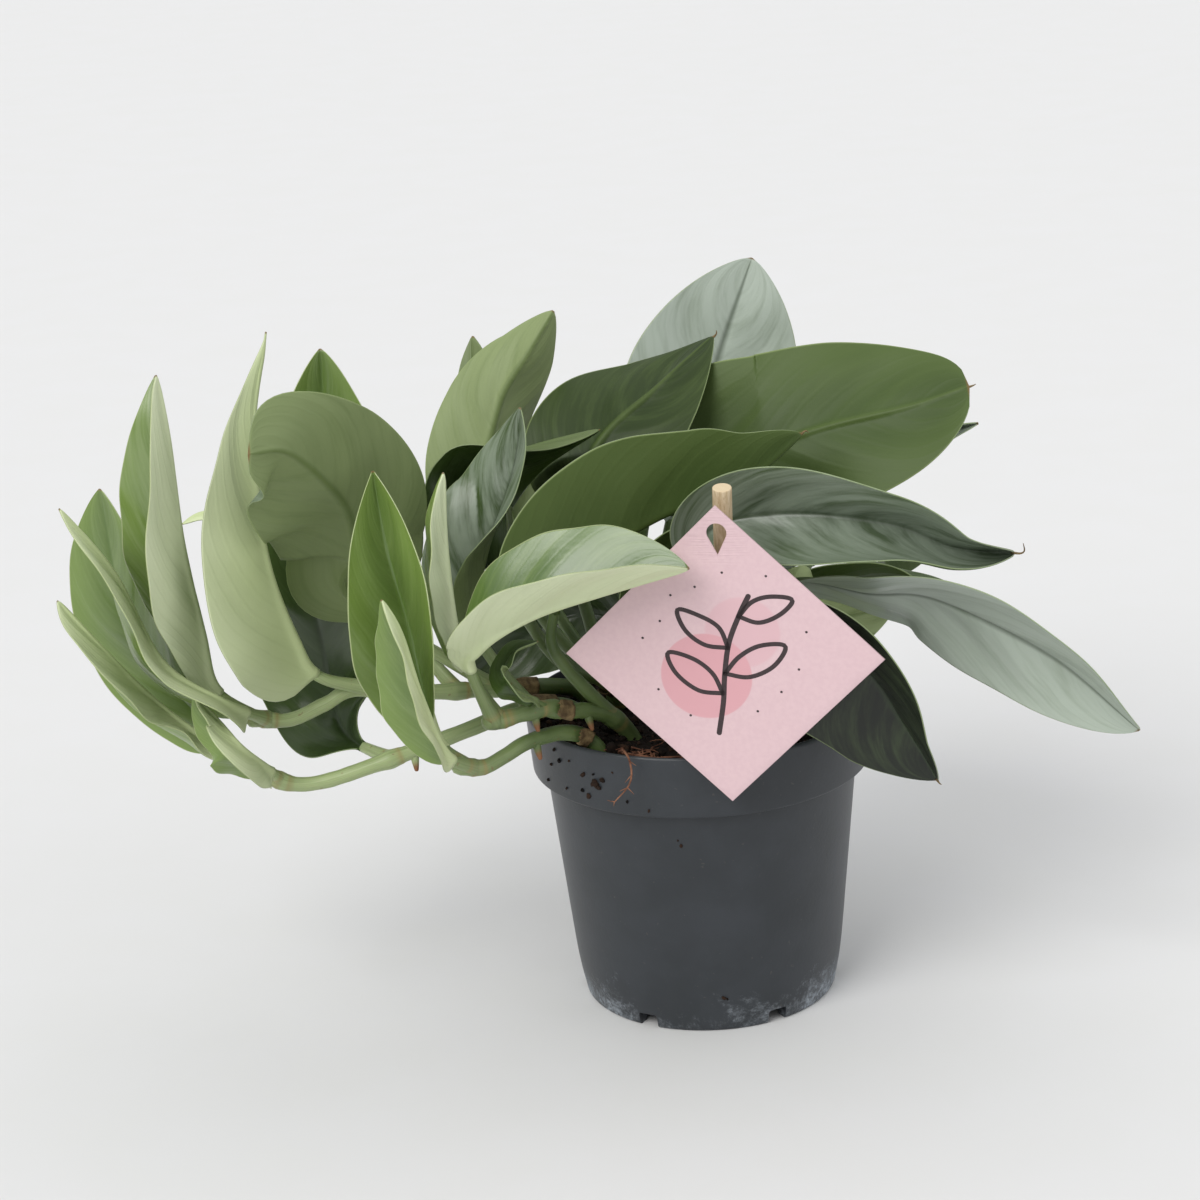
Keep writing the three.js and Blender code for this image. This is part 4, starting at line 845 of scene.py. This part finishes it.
COLUMNS = np.array([  # from midrib to margin, in hundredths of a half blade
    0, 1, 2, 4, 6, 9, 13, 18, 24, 31, 39, 48, 57, 66, 75, 83, 90, 95, 98, 100])
THICKNESS, FOOT_HALF, LEAST_HALF = 0.62, 2.7, 0.35  # of a blade, and half its width at foot and tip
STALK_FOLD = 62  # degrees that each half turns up where it leaves the stalk
EDGE_WAVE, EDGE_RIPPLE = (0.7, 2.2), (0.35, 5.3)  # height, and turns along the leaf
DENTS, SWELLS = (0.2, 9.5, 3.2), (0.95, 2.6, 0.9)  # height, turns along the leaf, and turns across it
MIDRIB_DIP, RIB = (0.45, 1.1), (1.25, 1.5)  # depth and half width
# Partly each leaf's own tone and partly painted light and shade: a leaf that sits in shade leans below
# zero towards a near-black colour, and a well-lit one leans up towards a paler colour.
LEAF_TONE_AND_SHADE = {  # how silvery the upper side is and how pale the underside, each from -1 to 1
    "leaf_top_silver": (1.0, 0.3), "leaf_right_silver": (0.6, 0.0), "leaf_right_long": (0.95, 0.0),
    "leaf_right_drooping": (-0.95, -0.4), "leaf_top_dark": (0.1, -0.65), "leaf_right_broad": (0.2, 0.05),
    "leaf_middle_broad": (0.6, 0.05), "leaf_left_arching": (0.4, 0.68), "leaf_top_pale": (0.3, 0.85),
    "leaf_left_dark": (0.0, -0.2), "leaf_front_twisted": (0.45, 0.5), "leaf_middle_blue": (-0.1, 0.3),
    "leaf_middle_edge": (0.3, 0.5), "leaf_small": (0.0, 0.6), "leaf_right_under": (0.3, 0.9),
    "leaf_top_hidden": (0.5, 0.6), "leaf_right_curled": (0.8, 0.95), "leaf_left_cupped": (0.0, -0.2),
    "leaf_far_tall": (0.4, 0.6), "leaf_front_slim": (0.2, 0.7), "leaf_front_wide": (-0.65, 0.6),
    "leaf_front_green": (-0.05, 0.0), "leaf_back_low": (-0.3, 0.0), "leaf_back_left": (-0.3, 0.0),
}


def leaf_waves(u, t, half, width, hand, start):
    """How far one half of a blade stands off its plain surface. The sum of a slow wave and a ripple
    that grow to the margin, dents between the veins, broad swells, and a dip over the midrib."""
    r, u, t, turn = COLUMNS[None] / 100, u[:, None], t[:, None], 2 * np.pi
    body = np.sin(np.pi * u)
    wave = EDGE_WAVE[0] * np.sin(turn * (EDGE_WAVE[1] * t + 0.1) + (1.3, 0)[hand]) * r ** 2 * body ** 0.7
    wave += EDGE_RIPPLE[0] * np.sin(turn * EDGE_RIPPLE[1] * t + start[hand]) * r ** 3 * body
    dent = np.sin((DENTS[1] * u - DENTS[2] * r ** 1.3) * turn + start[2 + hand])
    wave += DENTS[0] * min(1, width / 40) * dent * np.sin(np.pi * r) * body
    swell = np.sin(turn * (SWELLS[1] * u - SWELLS[2] * r) + start[2 + hand])
    wave += SWELLS[0] * min(1, width / 45) * swell * np.sin(np.pi * r ** 0.8) * body
    return wave - MIDRIB_DIP[0] * np.exp(-(r * half[:, None] / MIDRIB_DIP[1]) ** 2) * (1 - u) ** 0.5


def leaf_surface(leaf):
    """The upper surface, its outward normals, and the half width at each row. A row crosses the
    midrib: each half starts level, turns up by its fold, bends on by its curl, and carries the
    leaf's waves. The half width follows u^a (1-u)^b from base to tip."""
    name, _, _, _, width, stalk, (a, b), _, face, fold, curl = leaf
    path = leaf_path(leaf)
    length = along_path(path, [0.0])[2]
    first = stalk + 0.7 / length
    u = np.linspace(0.0, 1.0, max(24, int((1 - first) * length / 1.35)))
    t = first + (1 - first) * u
    centre, along, _ = along_path(path, t)
    base_face, tip_face = np.array(face, float)
    up = base_face + (tip_face - base_face) * smooth_step(u, 0, 1)[:, None]
    up = unit(up - (up * along).sum(-1, keepdims=True) * along)
    out = np.cross(along, up)
    fullest = (a / (a + b)) ** a * (b / (a + b)) ** b
    bulge = width / 2 * u ** a * (1 - u) ** b / fullest
    half = np.maximum(np.hypot(bulge, FOOT_HALF * (1 - u)), LEAST_HALF)
    opening = smooth_step(t, stalk * 0.6, stalk + 0.18)
    fine = (np.arange(100) + 0.5) / 100
    start = scattered(sum(map(ord, name))).uniform(0, 6.28, 4)
    halves = []
    for hand, side in ((0, -1), (1, 1)):
        turned = fold[0][hand] + (fold[1][hand] - fold[0][hand]) * u
        angle = STALK_FOLD + (turned - STALK_FOLD) * opening
        angle = np.radians(angle[:, None] * smooth_step(fine, -0.01, 0.07)[None]
                           + curl[hand] * opening[:, None] * fine[None])
        reach, lift = (np.pad(np.cumsum(step(angle), 1) / 100, ((0, 0), (1, 0)))[:, COLUMNS]
                       for step in (np.cos, np.sin))
        height = lift * half[:, None] + leaf_waves(u, t, half, width, hand, start)
        halves.append(centre[:, None] + (side * reach * half[:, None])[..., None] * out[:, None]
                      + height[..., None] * up[:, None])
    surface = np.concatenate([halves[0][:, :0:-1], halves[1]], 1)
    normal = unit(np.cross(np.gradient(surface, axis=1), np.gradient(surface, axis=0)))
    return surface, normal, half, u


def leaf_blade(leaf):
    """Wraps a thin skin round the leaf's surface: the lower side lies a thickness below the upper
    one, thinner at the margin, with a rounded rib under the midrib that fades to the tip. index is
    1 on the lower side's faces."""
    surface, normal, half, u = leaf_surface(leaf)
    r = np.concatenate([-COLUMNS[:0:-1], COLUMNS]) / 100
    rows, columns = len(u), len(r)
    along, wide = u[:, None], half[:, None]
    rib = (RIB[0] - along ** 0.6) * np.exp(-(np.abs(r) * wide / (RIB[1] - 0.8 * along)) ** 2)
    rib = rib * smooth_step(1 - along, 0.0, 0.05)
    depth = (THICKNESS * (1 - 0.45 * np.abs(r) ** 6) * np.minimum(1, 0.45 + wide / 3)
             + rib * min(1.0, leaf[4] / STALK["full_width"]))
    ring = np.concatenate([surface, (surface - normal * depth[..., None])[:, ::-1]], 1)
    column = np.tile(np.arange(2 * columns), rows - 1)
    lower_side = (column >= columns) & (column < 2 * columns - 1)
    index = np.concatenate([lower_side, np.zeros(2 * (columns - 1), bool)])
    across = 0.5 + 0.5 * np.concatenate([r, r[::-1]])
    uv = np.stack(np.broadcast_arrays(along, across), -1).reshape(-1, 2)
    return ring.reshape(-1, 3), skin_faces(rows, columns), index, uv


def leaf_marking_group():
    """Masks in the leaf's own uv: how far out from the midrib, veins that run out and forward from
    it, streaks along them, the margin's pale line and the midrib."""
    group = bpy.data.node_groups.new("leaf_marking", "ShaderNodeTree")
    for way, names in (("INPUT", ("Veins", "Margin width")),
                       ("OUTPUT", ("Across", "Along", "Vein", "Streak", "Margin", "Rib", "Cloud"))):
        for name in names:
            group.interface.new_socket(name=name, in_out=way, socket_type="NodeSocketFloat")
    given = group.nodes.new("NodeGroupInput").outputs
    result = group.nodes.new("NodeGroupOutput").inputs
    u, v, _ = parts_of(group, uv_place(group))
    signed = times(group, math_node(group, "SUBTRACT", v, 0.5), 2.0)
    across = math_node(group, "ABSOLUTE", signed)
    cloud = noise(group, object_place(group), 55.0, 3.0)
    bent = times(group, math_node(group, "POWER", across, 1.25), 0.38)
    wobble = times(group, math_node(group, "SUBTRACT", cloud, 0.5), 0.05)
    run = math_node(group, "ADD", math_node(group, "SUBTRACT", u, bent), wobble)
    run = times(group, run, given["Veins"])
    streak_place = node(group, "ShaderNodeCombineXYZ", {0: times(group, run, 0.9),
                                                        1: times(group, signed, 1.2)}).outputs[0]
    margin_start = math_node(group, "SUBTRACT", 1.0, given["Margin width"])
    masks = {"Across": across, "Along": u, "Cloud": cloud, "Rib": ramp(group, across, 0.07, 0.0),
             "Vein": ramp(group, math_node(group, "PINGPONG", run, 0.5), 0.22, 0.0),
             "Streak": noise(group, streak_place, 1.0, 4.0, 0.6),
             "Margin": ramp(group, across, margin_start, 1.0)}
    for name, value in masks.items():
        group.links.new(value, result[name])
    return group


marking = leaf_marking_group()
VEINS, MARGIN_SHARE, DRY_BROWN = 13.0, 0.022, (122, 100, 62)
# The darkest colours are painted shade and the palest are partly painted light; they lean each leaf
# towards how lit it is.
LEAF_SIDES = [  # name, the leaf's figure that leans it to its darkest or palest colour, colours of
    # centre, edge, streaks, veins, midrib, margin, darkest and palest, amounts of streaks and veins,
    # roughness and other sockets
    ("young_leaf_upper", "silver",
     [(96, 120, 56), (116, 141, 64), (136, 156, 94), (134, 156, 86), (80, 108, 38), (188, 198, 148),
      (60, 90, 32), (150, 166, 122)], 0.35, 0.05, 0.34,
     {"Specular_IOR_Level": 0.5, "Coat_Weight": 0.55, "Coat_Roughness": 0.24}),
    ("young_leaf_lower", "pale",
     [(196, 208, 158), (212, 221, 180), (188, 202, 150), (162, 178, 124), (188, 199, 150),
      (212, 219, 186), (120, 142, 78), (218, 226, 192)], 0.3, 0.05, 0.5, {"Specular_IOR_Level": 0.3}),
    ("grown_leaf_upper", "silver",
     [(46, 66, 23), (62, 84, 31), (82, 100, 62), (84, 102, 66), (38, 55, 25), (142, 158, 112),
      (14, 20, 12), (184, 195, 182)], 0.35, 0.05, 0.36,
     {"Specular_IOR_Level": 0.32, "Coat_Weight": 0.35, "Coat_Roughness": 0.24}),
    ("grown_leaf_lower", "pale",
     [(58, 77, 31), (74, 93, 43), (82, 100, 52), (86, 104, 56), (84, 102, 50), (150, 166, 112),
      (28, 41, 13), (150, 164, 116)], 0.4, 0.04, 0.48, {"Specular_IOR_Level": 0.25}),
]


def leaf_material(name, figure, colours, streak_amount, vein_amount, roughness, sockets):
    """One side of a leaf: its centre's colour with the others laid over it by the marking's masks.
    The leaf's own figure leans it to the darkest colour, which is painted shade, or to the palest,
    which is partly painted light. Of the palest colour, the upper side's streaks let less through on
    a less silvery leaf."""
    material, tree, shader = new_material(name, **sockets)
    centre, edge, streak, vein, rib, margin, darkest, palest = (rgb(*colour) for colour in colours)
    masks = node(tree, "ShaderNodeGroup", {"Veins": VEINS, "Margin width": MARGIN_SHARE},
                 node_tree=marking).outputs
    own = own_figure(tree, figure)
    cloudy = math_node(tree, "SUBTRACT", masks["Cloud"], 0.5)
    outward = math_node(tree, "ADD", ramp(tree, masks["Across"], 0.1, 1.0, 0.0, 0.9),
                        times(tree, cloudy, 0.5), clamp=True)
    pale = math_node(tree, "MAXIMUM", own, 0.0)
    dark = math_node(tree, "MAXIMUM", times(tree, own, -1.0), 0.0)
    least = math_node(tree, "MULTIPLY_ADD", pale, 2.0, -1.0, clamp=True) if figure == "silver" else 0.85
    even = node(tree, "ShaderNodeMapRange", {0: masks["Streak"], 1: 0.36, 2: 0.62, 3: least, 4: 1.0})
    colour = layered(tree, centre, (outward, edge), (dark, darkest),
                     (times(tree, pale, even.outputs[0]), palest),
                     (times(tree, ramp(tree, masks["Streak"], 0.42, 0.75), streak_amount), streak),
                     (times(tree, masks["Vein"], vein_amount), vein),
                     (times(tree, masks["Rib"], 0.6), rib), (times(tree, masks["Margin"], 0.7), margin),
                     (ramp(tree, masks["Along"], 0.991, 0.999), rgb(*DRY_BROWN)))
    fine = bump(tree, noise(tree, object_place(tree), 1500.0, 2.0), 0.12, 0.0002)
    feed(tree, shader, Base_Color=colour,
         Roughness=math_node(tree, "ADD", times(tree, cloudy, 0.12), roughness),
         Normal=bump(tree, masks["Vein"], 0.2, 0.00022, fine, invert=name.endswith("upper")))
    return material


leaf_materials = {row[0]: leaf_material(*row) for row in LEAF_SIDES}
for leaf in LEAVES:
    name, age = leaf[0], leaf[3]
    points, faces, index, uv = leaf_blade(leaf)
    silver, pale = LEAF_TONE_AND_SHADE.get(name, (0.0, 0.0))
    sides = [leaf_materials[age + side] for side in ("_leaf_upper", "_leaf_lower")]
    blade = new_piece("blade_" + name[5:], points, faces, sides, index, uv,
                      {"silver": np.full(len(points), silver), "pale": np.full(len(points), pale)})
    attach(blade, "root")
    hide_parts(name)

DRY_TIPS = [  # leaf, length, and the way its dry brown tip curls
    ("leaf_right_silver", 5.5, (-0.25, 0.0, 1.0)), ("leaf_right_broad", 1.9, (0.6, 0.0, 0.3)),
    ("leaf_middle_broad", 2.4, (0.4, 0.0, -0.6)), ("leaf_top_dark", 2.2, (-0.2, 0.0, 0.8)),
    ("leaf_right_drooping", 1.8, (0.6, 0.0, -0.4)),
]


def dry_tip(name, length, way):
    """A thin thread that goes on from the leaf's tip and curls away, thinner to its end."""
    end, heading, _ = along_path(leaf_path(next(leaf for leaf in LEAVES if leaf[0] == name)), [1.0])
    ahead, curl = unit(heading[0]), np.array(way)
    path = end[0] + length * np.array([-0.15 * ahead, 0.4 * ahead, 0.7 * ahead + 0.2 * curl,
                                       0.75 * ahead + 0.65 * curl])
    share = np.linspace(0.0, 1.0, 12)
    return round_stem(path, share, 0.5 - 0.38 * share, np.array([[0.1, 1.0, 0.15]]), 8)[:2]


tips = new_piece("dry_tips", *joined([dry_tip(*row) for row in DRY_TIPS]), [scrap_material])
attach(tips, "root")

# Roots: thin reddish strands that run over the soil from the front vine's foot, one of them over the
# rim and down the band, with finer hairs off them and a mat of short fine roots round them.

ROOT_CROWN, SOIL_REACH = (-22.0, -45.0), 54
MAIN = {"count": 9, "steps": 6, "stride": 3.4, "swing": 28, "hairs": 3}  # swing in degrees
FINE = {"count": 26, "steps": 5, "stride": 2.3, "swing": 40, "radius": 0.24}
RIM_RADIUS, HAIR_RADIUS = 0.52, 0.2
OVER_RIM = [(-27, -49, 105), (-25.5, -53, 107.2), (-24.5, -57, 107.6), (-23.5, -60.4, 106.3),
            (-23, -61.3, 101.5), (-24.5, -60.7, 97), (-29, -58.9, 91.5)]
RIM_HAIRS = [  # the point of OVER_RIM that each leaves, and its way
    (3, (2.2, -0.2, -1.8)), (4, (-2.0, -0.4, -2.2)), (5, (-2.6, 0.3, -1.2)), (5, (2.0, 0.1, -2.4)),
    (6, (-2.4, 0.2, 0.6)), (6, (-0.4, 0.4, -1.6)),
]


def root_strand(points, radius, seed):
    """A thin tube along a path whose points are shifted a little at random, thinner to its end."""
    path = np.array(points, float)
    path[1:] += scattered(seed).normal(size=path[1:].shape) * (0.12, 0.12, 0.05)
    length = along_path(path, [0.0])[2]
    share = np.linspace(0.0, 1.0, max(6, int(length / 0.8)))
    return round_stem(path, share, radius * (1.05 - 0.65 * share), np.array([[0.2, 0.1, 1.0]]), 7)[:2]


def root_paths():
    """Paths that wander out over the soil, and short side hairs off them."""
    random = scattered(5)
    lift = lambda x, y: float(soil_height(np.array(x), np.array(y))) + 1.5
    crown = (*ROOT_CROWN, lift(*ROOT_CROWN) + 0.3)
    paths = [([crown] + OVER_RIM, RIM_RADIUS)]
    for number in range(MAIN["count"]):
        heading = math.radians(-110 + 130 * (number + random.uniform()) / MAIN["count"])
        x, y = ROOT_CROWN
        path = [crown]
        for _ in range(MAIN["steps"]):
            heading += math.radians(random.uniform(-MAIN["swing"], MAIN["swing"]))
            x, y = x + MAIN["stride"] * math.cos(heading), y + MAIN["stride"] * math.sin(heading)
            if math.hypot(x, y) > SOIL_REACH:
                break
            path.append((x, y, lift(x, y) - 0.3 + random.uniform(-0.2, 0.6)))
        if len(path) > 3:
            paths.append((path, random.uniform(0.3, 0.55)))
            for _ in range(MAIN["hairs"]):
                base = np.array(path[random.integers(1, len(path) - 1)])
                way = np.append(random.normal(size=2), 0.25) * 1.6
                paths.append(([base, base + way, base + way * 1.9 - (0, 0, 0.5)], HAIR_RADIUS))
    for _ in range(FINE["count"]):
        heading = math.radians(random.uniform(-170, 40))
        x, y = random.uniform(-34, -12), random.uniform(-49, -38)
        path = []
        for _ in range(FINE["steps"]):
            heading += math.radians(random.uniform(-FINE["swing"], FINE["swing"]))
            path.append((x, y, lift(x, y) - 0.7 + random.uniform(-0.2, 0.9)))
            x, y = x + FINE["stride"] * math.cos(heading), y + FINE["stride"] * math.sin(heading)
            if math.hypot(x, y) > SOIL_REACH:
                break
        if len(path) > 3:
            paths.append((path, FINE["radius"]))
    for at, way in RIM_HAIRS:
        base, way = np.array(OVER_RIM[at], float), np.array(way)
        paths.append(([base, base + way * 0.6 + (0, -0.2, 0), base + way], HAIR_RADIUS))
    return paths


root_material = mottled_material("root_skin", (260.0, 4.0, 0.6), (0.3, 0.7),
                                 (rgb(84, 50, 36), rgb(146, 102, 78)), (0.6, 0.0003),
                                 Roughness=0.75, Specular_IOR_Level=0.3)
strands = joined([root_strand(*row, 30 + number) for number, row in enumerate(root_paths())])
roots = new_piece("root_strands", *strands, [root_material])
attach(roots, "root")
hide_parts("surface_roots")

# Stick: a round stick of pale beech, pushed into the soil, with a fine straight grain and a sawn top.

STICK_FOOT, STICK_TOP, STICK_RADIUS = (8.6, -38.5, 62.0), (10.4, -69.2, 199.8), 3.1
STICK_SIDES, STICK_RINGS, STICK_LEAN = 64, 40, -0.219  # lean in radians
STICK_END = [  # radius and height of each corner of an end
    (0.01, 0.0), (1.0, 0.0), (2.0, 0.0), (2.85, 0.0), (3.03, 0.08), (STICK_RADIUS, 0.3)]


def sawn_stick():
    """Rings about the stick's axis, with a narrow rounded edge at each end; uv holds the length
    along it and the angle round it, and the figure end is 1 on the two sawn faces."""
    foot, top = np.array(STICK_FOOT), np.array(STICK_TOP)
    length = np.linalg.norm(top - foot)
    axis = (top - foot) / length
    side = unit(np.cross(axis, (0.0, 1.0, 0.0)))
    other = np.cross(axis, side)
    end = np.array(STICK_END)
    between = np.linspace(2, length - 2, STICK_RINGS)
    profile = np.vstack([end, np.column_stack([np.full(STICK_RINGS, STICK_RADIUS), between]),
                         (end * (1, -1) + (0, length))[::-1]])
    radius, height = profile.T[:, :, None, None]
    angle = round_turn(STICK_SIDES)[None, :, None]
    ring = foot + height * axis + radius * (np.cos(angle) * side + np.sin(angle) * other)
    uv = np.stack(np.broadcast_arrays(height[..., 0] / 100, np.arange(STICK_SIDES) / STICK_SIDES), -1)
    rows = len(profile)
    flat = np.minimum(np.arange(rows), np.arange(rows)[::-1]) < 4
    faces = grid_faces(rows, STICK_SIDES, True).tolist()
    faces += [range(STICK_SIDES)[::-1], range((rows - 1) * STICK_SIDES, rows * STICK_SIDES)]
    return ring.reshape(-1, 3), faces, uv.reshape(-1, 2), np.repeat(flat.astype(float), STICK_SIDES)


wood_material, tree, shader = new_material("beech_wood", Roughness=0.7, Specular_IOR_Level=0.35)
place = object_place(tree)
lean = (STICK_LEAN, 0.0, 0.0)
fibre = noise(tree, stretched(tree, place, (900.0, 900.0, 26.0), lean), 1.0, 4.0, 0.65)
pores = noise(tree, stretched(tree, place, (2400.0, 2400.0, 120.0), lean), 1.0, 2.0)
wood = layered(tree, rgb(180, 157, 122), (ramp(tree, fibre, 0.3, 0.72), rgb(213, 194, 163)),
               (times(tree, ramp(tree, pores, 0.62, 0.72), 0.45), rgb(150, 118, 80)))
rings = node(tree, "ShaderNodeTexWave",
             {"Vector": place, "Scale": 420.0, "Distortion": 1.2, "Detail": 2.0},
             wave_type="RINGS", rings_direction="Z").outputs[1]
sawn = blend_colours(tree, ramp(tree, rings, 0.2, 0.8), rgb(206, 184, 148), rgb(222, 204, 172))
feed(tree, shader, Base_Color=blend_colours(tree, own_figure(tree, "end"), wood, sawn),
     Normal=bump(tree, fibre, 0.5, 0.0002))
stick_points, stick_faces, stick_uv, stick_ends = sawn_stick()
stick = new_piece("wooden_stick", stick_points, stick_faces, [wood_material], uv=stick_uv,
                  values={"end": stick_ends})
stick.data.set_sharp_from_angle(angle=math.radians(50))
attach(stick, "root")
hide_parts("label_stick")

# Card: a square of pink coated card, hung by one corner on the stick through a drop-shaped hole. A
# plain printed pattern of soft discs, dots and one leafy sprig is laid on as thin ink.

CARD = {"side": 73.0, "thickness": 0.6, "centre": (8.8, -71.0, 144.6), "turn": -11.3, "lean": 5.1,
        "hole_radius": 3.2, "hole_point": 35.0, "hole_length": 10.6}  # turn and lean in degrees
CARD_COLUMNS, CARD_ROUNDING = 252, 0.12


def card_place(flat, front):
    """Points in the card's own plane, right and up from its centre, put in place; front is how far
    they stand before the card's front face."""
    lean, turn = math.radians(90 + CARD["lean"]), math.radians(CARD["turn"])
    local = np.stack([flat[..., 0], flat[..., 1], np.broadcast_to(front, flat[..., 0].shape)], -1)
    turned = np.array(Matrix.Rotation(turn, 3, "Z") @ Matrix.Rotation(lean, 3, "X"))
    return local @ turned.T + np.array(CARD["centre"])


def diamond_edge(angle, middle):
    """Where rays at these angles from middle meet the square that stands on its corner."""
    half = CARD["side"] / math.sqrt(2)
    dx, dy = np.cos(angle), np.sin(angle)
    reach = np.full_like(angle, 1e9)
    for sx in (-1, 1):
        for sy in (-1, 1):
            facing = sx * dx + sy * dy
            here = (half - sx * middle[0] - sy * middle[1]) / np.where(facing > 1e-6, facing, 1e-6)
            reach = np.where((facing > 1e-6) & (here < reach), here, reach)
    return np.stack([middle[0] + reach * dx, middle[1] + reach * dy], -1)


def hole_edge(angle, middle):
    """The drop: a circle about middle above, and two straight sides that touch it and meet in a
    point below. A side's distance from the middle is the circle's radius."""
    radius = CARD["hole_radius"]
    touch = -math.asin(radius / (middle[1] - CARD["hole_point"]))
    dx, dy = np.cos(angle), np.sin(angle)
    below = np.arctan2(dy, np.abs(dx)) < touch
    facing = np.where(below, np.abs(dx) * math.cos(touch) + dy * math.sin(touch), 1.0)
    return np.stack([middle[0] + radius / facing * dx, middle[1] + radius / facing * dy], -1)


def card_board():
    """Rings between the hole and the square's edge, front and back, with a rounded cut edge."""
    middle = (0.0, CARD["hole_point"] + CARD["hole_length"] - CARD["hole_radius"])
    half = CARD["side"] / math.sqrt(2)
    corners = np.array([(half, 0), (0, half), (-half, 0), (0, -half)]) - middle
    even = round_turn(CARD_COLUMNS) - np.pi + 0.003
    angle = np.sort(np.concatenate([even, np.arctan2(*corners.T[::-1])]))
    inner, outer = hole_edge(angle, middle), diamond_edge(angle, middle)
    share = np.concatenate([[0.0, 0.012], np.linspace(0.04, 0.96, 12), [0.996, 1.0]])[:, None, None]
    flat = inner + (outer - inner) * share
    drop = np.array([CARD_ROUNDING] + [0.0] * (len(share) - 2) + [CARD_ROUNDING])[:, None]
    rings = np.concatenate([card_place(flat, CARD["thickness"] - drop), card_place(flat, drop)[::-1]])
    rows, columns = rings.shape[:2]
    quads = np.roll((grid_faces(rows + 1, columns, True) % (rows * columns))[:, ::-1], 1, axis=1)
    uv = np.concatenate([flat, flat[::-1]]).reshape(-1, 2) / 100 + 0.5
    cut = np.zeros((rows, columns))
    cut[[0, len(share) - 1, len(share), rows - 1]] = 1.0
    return rings.reshape(-1, 3), quads.tolist(), uv, cut.ravel()


card_material, tree, shader = new_material("pink_card", Specular_IOR_Level=0.4)
across, up, _ = parts_of(tree, uv_place(tree))


def disc_mask(centre, radius, soft):
    """1 inside a disc of the card's uv, easing to 0 over the soft width."""
    x, y = (math_node(tree, "SUBTRACT", value, middle) for value, middle in zip((across, up), centre))
    away = math_node(tree, "SQRT", math_node(tree, "ADD", times(tree, x, x), times(tree, y, y)))
    return ramp(tree, away, radius + soft, radius)


pulp = noise(tree, object_place(tree), 650.0, 4.0)
pink = layered(tree, rgb(217, 187, 192), (ramp(tree, pulp, 0.3, 0.7), rgb(221, 192, 196)),
               (disc_mask((0.565, 0.585), 0.115, 0.012), rgb(218, 180, 186)),
               (disc_mask((0.44, 0.43), 0.145, 0.006), rgb(217, 164, 171)),
               (times(tree, own_figure(tree, "cut"), 0.8), rgb(206, 176, 180)))
fold_lines = noise(tree, stretched(tree, uv_place(tree), (6.0, 150.0, 0.0)), 1.0, 2.0)
creases = times(tree, fold_lines, disc_mask((0.5, 0.92), 0.05, 0.1))
feed(tree, shader, Base_Color=pink, Roughness=ramp(tree, pulp, 0.2, 0.8, 0.42, 0.52),
     Normal=bump(tree, creases, 0.5, 0.0006, bump(tree, pulp, 0.12, 0.0001)))
card_points, card_faces, card_uv, card_cut = card_board()
card = new_piece("pink_card", card_points, card_faces, [card_material], uv=card_uv,
                 values={"cut": card_cut})
card.data.set_sharp_from_angle(angle=math.radians(60))
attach(card, "root")
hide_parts("label_card")

INK_HEIGHT, DOT_RADIUS, DOT_SIDES = 0.04, 0.42, 16
SPRIG_LINES = [  # width, then points right and up from the card's centre
    (1.7, [(-3, -27), (-1, -16), (0, -6), (2, 5), (6, 15), (9, 21)]),
    (1.5, [(-1, -13), (-9, -12), (-16, -6), (-18, 1), (-10, -1), (-4, -6), (-1, -13)]),
    (1.5, [(0, -6), (8, -7), (16, -3), (20, 4), (12, 4), (5, 0), (0, -6)]),
    (1.5, [(1.6, 3), (-6, 4), (-12, 9), (-14, 16), (-7, 14), (-1, 10), (1.6, 3)]),
    (1.5, [(5.5, 14), (12, 12), (19, 15), (23, 20), (16, 21), (10, 19), (5.5, 14)]),
]
SPRIG_DOTS = [(-22, -12), (-26, 6), (-20, 12), (-8, 24), (1, 29), (18, -12), (24, -4), (27, 9),
              (10, -19), (-12, -21), (15, 28), (-16, 21)]


def ink_line(width, points):
    """A flat ribbon of that width along a smooth path, round at both ends."""
    flat_path = np.column_stack([np.array(points, float), np.zeros(len(points))])
    length = along_path(flat_path, [0.0])[2]
    count = max(12, int(length / 0.7))
    at, heading, _ = along_path(flat_path, np.linspace(0.0, 1.0, count))
    sideways = np.stack([-heading[:, 1], heading[:, 0]], -1)
    at, heading = at[:, :2], heading[:, :2]
    radius, turn = width / 2, np.linspace(-np.pi / 2, np.pi / 2, 9)[1:-1, None]
    out, over = radius * np.cos(turn), radius * np.sin(turn)
    outline = np.concatenate([at + sideways * radius, at[-1] + out * heading[-1] - over * sideways[-1],
                              (at - sideways * radius)[::-1],
                              at[0] - out * heading[0] + over * sideways[0]])
    left = np.arange(count)
    right = 2 * count + len(turn) - 1 - left
    last_end = np.arange(count, count + len(turn))[::-1]
    first_end = last_end + len(turn) + count
    faces = np.stack([left[:-1], right[:-1], right[1:], left[1:]], -1).tolist()
    return outline, faces + [[left[-1], right[-1], *last_end], [right[0], left[0], *first_end]]


def ink_dot(x, y):
    """A small round dot."""
    turn = round_turn(DOT_SIDES)
    points = np.stack([x + DOT_RADIUS * np.cos(turn), y + DOT_RADIUS * np.sin(turn)], -1)
    return points, [range(DOT_SIDES)]


ink_points, ink_faces = joined([ink_line(*row) for row in SPRIG_LINES]
                               + [ink_dot(*row) for row in SPRIG_DOTS])
ink_material = mottled_material("sepia_ink", (900.0, 3.0), (0.2, 0.8),
                                (rgb(56, 46, 48), rgb(68, 56, 58)),
                                Roughness=0.5, Specular_IOR_Level=0.35)
printed = card_place(ink_points, CARD["thickness"] + INK_HEIGHT)
ink = new_piece("card_print", printed, ink_faces, [ink_material])
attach(ink, "root")
